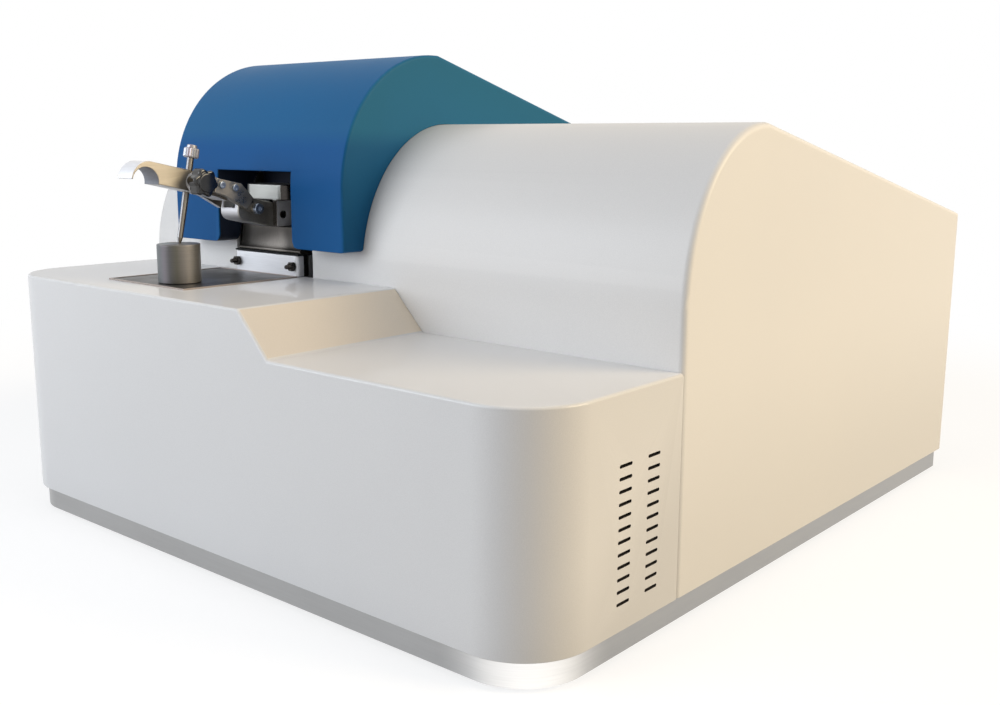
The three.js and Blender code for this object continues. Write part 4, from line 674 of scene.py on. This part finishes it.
turned("sample_disc", eased([(0, 0), (18.4, 0), (18.4, 33.4), (0, 33.4)], 0.9),
       spot(SAMPLE_X, SAMPLE_Y, 202.9), 160)
turned("aperture_insert", eased([(6.9, 0), (15, 0), (15, 3), (6.5, 3), (6.9, 0)], 0.3),
       spot(SAMPLE_X, SAMPLE_Y, 199.6))

# Clamp rod, its fluted head, and the lock knob with its screw
ROD_PLACE = spot(CLAMP_X, ROD_A, 0, base=CLAMP)
FLUTES, FLUTE_DEPTH, FLUTE_START = 18, 0.55, 5.4
LOBES, LOBE_DEPTH, LOBE_START, LOBE_RISE = 6, 2.2, 7.5, 3
rod = [(0, -41.4), (1.4, -41.4), (1.6, -40.2), (2.4, -36.4), (2.9, -0.2), (2.9, 44.4), (0, 44.4)]
turned("clamp_rod", eased(rod, 0.5), ROD_PLACE, 48)


def fluted(turn, radius):
    depth = FLUTE_DEPTH * (0.5 - 0.5 * math.cos(FLUTES * turn)) ** 0.7
    return radius - (depth if radius > FLUTE_START else 0)


head = [(3.2, 33.3), (5.6, 33.3), (6.6, 34.2), (6.6, 40.9), (5.6, 41.8), (4.3, 41.8), (4.3, 43.9),
        (3.8, 44.4), (3.2, 44.4)]
turned("rod_head", eased(head, 0.25, 2) + head[:1], ROD_PLACE, 216, fluted)


def lobed(turn, radius):
    share = min(1, max(0, (radius - LOBE_START) / LOBE_RISE))
    return radius - LOBE_DEPTH * share * share * (3 - 2 * share) * (1 + math.cos(LOBES * turn)) / 2


knob = [(2.8, 0), (11.3, 0), (12.5, 1.4), (12.5, 11.0), (11.3, 12.4), (8.6, 12.4), (8.0, 12.9), (8.0, 13.5),
        (7.4, 14.0), (0, 14.0)]
turned("lock_knob", [(0, 8.4), (2.8, 8.4)] + eased(knob, 0.9, 5), spot(206.7, ROD_A, KNOB_B, "x", CLAMP), 180,
       lobed)
turned("lock_screw", eased([(0, 0), (2.5, 0), (2.5, 20.6), (0, 20.6)], 0.5),
       spot(194.2, ROD_A, KNOB_B, "x", CLAMP), 48)


# Socket-head screws: a shank, a head and a hexagonal socket
def socket_screw(bm, place, shank, length, head, height, socket):
    profile = [(0, -length), (shank, -length), (shank, 0), (head, 0), (head, height - 0.1),
               (head - 0.7, height), (socket / 2 + 0.5, height), (socket / 2 + 0.2, height)]
    floor = [(socket, height - 0.25), (socket, height * 0.4), (0, height * 0.35)]
    lathe(bm, eased(profile, 0.45) + floor, place, 48,
          lambda turn, radius: hexed(socket)(turn, radius) if radius == socket else radius)


bm = bmesh.new()
socket_screw(bm, spot(213.1, 0, 0, "x", CLAMP), shank=3.0, length=35.1, head=4.8, height=4.0, socket=4.0)
shown("hinge_bolt", bm)
bm = bmesh.new()
for a in (-40.4, -26.5):
    socket_screw(bm, spot(212.8, a, 14.0, "x", CLAMP), shank=1.2, length=0.6, head=3.0, height=2.0, socket=2.4)
add("link_screws", bm, [BOLT], "clamp_arm")

# Fence studs with their threads, the nuts, and the bracket's pin
THREADS, THREAD_PITCH, THREAD_ROOT, THREAD_CREST = 18, 0.7, 1.72, 2.0
FENCE_Z = 211.8
thread = []
for i in range(THREADS):
    start = 0.9 + i * THREAD_PITCH
    thread += [(THREAD_ROOT, start), (THREAD_CREST, start + 0.35)]
stud = [(0, 0), (1.4, 0), (1.75, 0.5), *thread, (THREAD_CREST, 36.8), (0, 36.8)]
nut = [(2.3, 0.3), (2.7, 0), (3.9, 0), (4.62, 0.5), (4.62, 3.5), (3.9, 4), (2.3, 4), (2.3, 0.3)]
for side, x in (("left", 150.6), ("right", 231.4)):
    turned("fence_stud_" + side, stud, spot(x, 145.5, FENCE_Z, "y"), 32)
    turned("fence_nut_" + side, nut, spot(x, 150.7, FENCE_Z, "y"), 72, hexed(8))
turned("bracket_pin", eased([(0, 0), (3, 0), (3, 38), (0, 38)], 0.5), spot(172, 32.6, 0, "x", CLAMP), 48)

# Feet: a rubber pad with a ribbed side
pad = [(0, 0), (14.6, 0), (16, 0.6), (15.6, 1.0), (16, 1.4), (16, 2.4), (15.6, 2.7), (0, 2.7)]
for row, y in (("front", 70), ("rear", 636)):
    for side, x in (("left", 70), ("right", 570)):
        turned(f"foot_{row}_{side}", eased(pad, 0.2, 2), spot(x, y, -BOTTOM), 72)

# Rear fittings: panel screws, gas spigots, the fan and its wire guard
PANEL_BACK, FITTING_BACK = 688, 688.3
PANEL_SCREWS = ((16, 12), (16, 128), (16, 240), (320, 12), (320, 240), (624, 12), (624, 128), (624, 240))
bm = bmesh.new()
for x, z in PANEL_SCREWS:
    socket_screw(bm, spot(x, PANEL_BACK, z, "y"), shank=1.5, length=2, head=4.2, height=2.4, socket=3)
add("panel_screws", bm, [BRUSHED], "cabinet")

BARBS, BARB_PITCH = 3, 2.73
spigot = [(0, -10), (5, -10), (5, 0), (8.2, 0), (9.9, 0.8), (9.9, 5.2), (8.2, 6)]
for i in range(BARBS):
    spigot += [(4.0, 6 + i * BARB_PITCH), (3.25, 6 + (i + 1) * BARB_PITCH - 0.1)]
spigot += [(2.2, 14.2), (2.0, 13.8), (2.0, 7), (0, 7)]
for side, x in (("inlet", 60), ("outlet", 110)):
    turned("argon_" + side, spigot, spot(x, FITTING_BACK, 150, "y"), 96, hexed(17))

FAN_X, FAN_Y, FAN_Z = 520, 671, 110
GUARD_RINGS, WIRE_SIDES, SPOKE, GUARD_FOOT = (12, 19, 26), 10, 34, 31.4
bm = bmesh.new()
for radius in GUARD_RINGS:
    turns = [2 * math.pi * k / WIRE_SIDES for k in range(WIRE_SIDES)]
    wire = [(radius + math.cos(turn), 1 + math.sin(turn)) for turn in turns]
    lathe(bm, wire, spot(FAN_X, FITTING_BACK, FAN_Z, "y"), 72, closed=True)
lathe(bm, eased([(0, 0), (6, 0), (6, 2), (0, 2)], 0.6), spot(FAN_X, FITTING_BACK, FAN_Z, "y"), 48)
for x, z, axis in ((-SPOKE, 0, "x"), (0, -SPOKE, "z")):
    place = spot(FAN_X + x, FITTING_BACK + 1, FAN_Z + z, axis)
    lathe(bm, eased([(0, 0), (1, 0), (1, 2 * SPOKE), (0, 2 * SPOKE)], 0.4), place, 16)
for x, z in ((GUARD_FOOT, 0), (-GUARD_FOOT, 0), (0, GUARD_FOOT), (0, -GUARD_FOOT)):
    lathe(bm, eased([(0, -0.3), (2.5, -0.3), (2.5, 1.2), (1.4, 2), (0, 2)], 0.4),
          spot(FAN_X + x, FITTING_BACK, FAN_Z + z, "y"), 32)
shown("fan_guard", bm)

BLADES, BLADE_ROOT, BLADE_LENGTH, BLADE_STEPS = 7, 11, 15.6, 8
BLADE_WIDTH, BLADE_CAMBER, BLADE_THICKNESS, BLADE_TWIST = 7.4, 1.6, 0.75, 0.12
BLADE_MIDDLE, BLADE_DEPTH = 6.2, 10.4


# A cambered blade: two skins of points joined along their rim
def fan_blade(bm, place, turn):
    steps = BLADE_STEPS
    skins = []
    for side in (-1, 1):
        skin = []
        for i in range(steps + 1):
            radius = BLADE_ROOT + BLADE_LENGTH * i / steps
            row = []
            for j in range(steps + 1):
                t = j / steps - 0.5
                thick = BLADE_THICKNESS * side * (1 - 2.4 * t * t)
                bend = BLADE_WIDTH * t + BLADE_CAMBER * (1 - 4 * t * t) + thick
                angle = turn + (bend + BLADE_TWIST * (radius - BLADE_ROOT)) / radius
                height = BLADE_MIDDLE + BLADE_DEPTH * t
                point = Vector((radius * math.cos(angle), radius * math.sin(angle), height))
                row.append(bm.verts.new(place @ point))
            skin.append(row)
        skins.append(skin)
    made = []
    for skin in skins:
        for i in range(steps):
            for j in range(steps):
                made.append(bm.faces.new((skin[i][j], skin[i][j + 1], skin[i + 1][j + 1], skin[i + 1][j])))
    rim = [(0, j) for j in range(steps)] + [(i, steps) for i in range(steps)]
    rim += [(steps, j) for j in range(steps, 0, -1)] + [(i, 0) for i in range(steps, 0, -1)]
    for (i, j), (k, l) in zip(rim, rim[1:] + rim[:1]):
        made.append(bm.faces.new((skins[0][i][j], skins[0][k][l], skins[1][k][l], skins[1][i][j])))
    bmesh.ops.recalc_face_normals(bm, faces=made)


bm = bmesh.new()
hub = [(0, 0), (13, 0), (13, 11.2), (11.6, 12.5), (4, 12.5), (3.4, 12.1), (0, 12.1)]
lathe(bm, eased(hub, 0.5), spot(FAN_X, FAN_Y, FAN_Z, "y"), 64)
for i in range(BLADES):
    fan_blade(bm, spot(FAN_X, FAN_Y, FAN_Z, "y"), 2 * math.pi * i / BLADES)
shown("fan_rotor", bm)

PIN_MIDDLES = [cabinet(x, 680.7, 64) for x in (103, 110, 117)]
PIN_HALF = (0.0012, 0.0053, 0.0022)


def of_pin(face, tree):
    centre = face.calc_center_median()
    return any(all(abs(centre[i] - middle[i]) < PIN_HALF[i] for i in range(3)) for middle in PIN_MIDDLES)


dress("power_inlet", 0.5, others=[(BRASS, of_pin)])
dress("switch_frame", 0.5)
dress("power_rocker", 0.6, 3)
dress("data_port", 0.35)
dress("fan_frame", 0.4)

# The stage, the lamps and the world. The camera sees white; the part is lit by a softer floor and sky
FLOOR_SIZE, FLOOR_Z, FLOOR_TONE = 12, -0.0005, 0.4
NEAR_FLOOR, FAR_FLOOR = 0.7, 1.4
FLOOR_GLOW, FLOOR_SHADE = 0.7, 0.36
SKY_COLOR, SKY_LEVEL = (0.98, 0.98, 1.0), 0.31
WHITE = (1, 1, 1, 1)


def seen_directly(g):
    path = g.node("ShaderNodeLightPath")
    seen = g.math("MAXIMUM", path.outputs["Is Camera Ray"], path.outputs["Is Glossy Ray"])
    return g.math("MAXIMUM", seen, path.outputs["Is Transmission Ray"])


# Seen directly it is white, with the part's soft shadow near it
def floor_material():
    material = bpy.data.materials.new("floor")
    material.use_nodes = True
    g = Graph(material.node_tree)
    tint = g.grey(g.varied(g.noise(g.place(), 3.0), FLOOR_TONE, 0.01))
    lit = g.node("ShaderNodeBsdfDiffuse", {0: tint}).outputs[0]
    glow = g.node("ShaderNodeEmission", {0: WHITE, 1: FLOOR_GLOW}).outputs[0]
    faint = g.node("ShaderNodeBsdfDiffuse", {0: rgba((FLOOR_SHADE,) * 3)}).outputs[0]
    near = g.node("ShaderNodeAddShader", {0: glow, 1: faint}).outputs[0]
    away = g.node("ShaderNodeVectorMath", {0: g.place()}, operation="LENGTH").outputs["Value"]
    fade = g.ranged(away, NEAR_FLOOR, FAR_FLOOR, 0.0, 1.0, smooth=True)
    plain = g.node("ShaderNodeEmission", {0: WHITE, 1: 1.0}).outputs[0]
    white = g.node("ShaderNodeMixShader", {0: fade, 1: near, 2: plain}).outputs[0]
    mixed = g.node("ShaderNodeMixShader", {0: seen_directly(g), 1: lit, 2: white}).outputs[0]
    g.node("ShaderNodeOutputMaterial", {0: mixed})
    return material


def make_floor():
    bm = bmesh.new()
    bmesh.ops.create_grid(bm, x_segments=2, y_segments=2, size=FLOOR_SIZE)
    bmesh.ops.translate(bm, verts=bm.verts, vec=(0, 0, FLOOR_Z))
    mesh = bpy.data.meshes.new("floor")
    bm.to_mesh(mesh)
    bm.free()
    mesh.materials.append(floor_material())
    piece = bpy.data.objects.new("floor", mesh)
    scene.collection.objects.link(piece)


def make_world():
    scene.world = bpy.data.worlds.new("world")
    scene.world.use_nodes = True
    g = Graph(scene.world.node_tree)
    soft = g.node("ShaderNodeBackground", {0: rgba(SKY_COLOR), 1: SKY_LEVEL}).outputs[0]
    white = g.node("ShaderNodeBackground", {0: WHITE, 1: 1.0}).outputs[0]
    mixed = g.node("ShaderNodeMixShader", {0: seen_directly(g), 1: soft, 2: white}).outputs[0]
    g.node("ShaderNodeOutputWorld", {0: mixed})


def lamp(name, place, target, size, power, color):
    data = bpy.data.lights.new(name, "AREA")
    data.shape, data.size, data.size_y = "RECTANGLE", size[0], size[1]
    data.energy, data.color = power, color
    made = bpy.data.objects.new(name, data)
    made.location = place
    made.rotation_euler = (Vector(target) - Vector(place)).to_track_quat("-Z", "Y").to_euler()
    scene.collection.objects.link(made)


make_floor()
make_world()
lamp("front_lamp", (-1.1, -2.35, 1.0), (0, -0.3, 0.15), size=(2.0, 1.6), power=48, color=(0.86, 0.92, 1.0))
lamp("right_lamp", (7.8, 4.2, 3.8), (0.2, 0, 0.15), size=(5.4, 4.8), power=900, color=(1.0, 0.82, 0.55))
lamp("top_lamp", (0.2, -0.3, 2.6), (0, 0, 0.2), size=(1.6, 1.6), power=9, color=(1.0, 0.98, 0.95))

scene.view_settings.view_transform = "Standard"
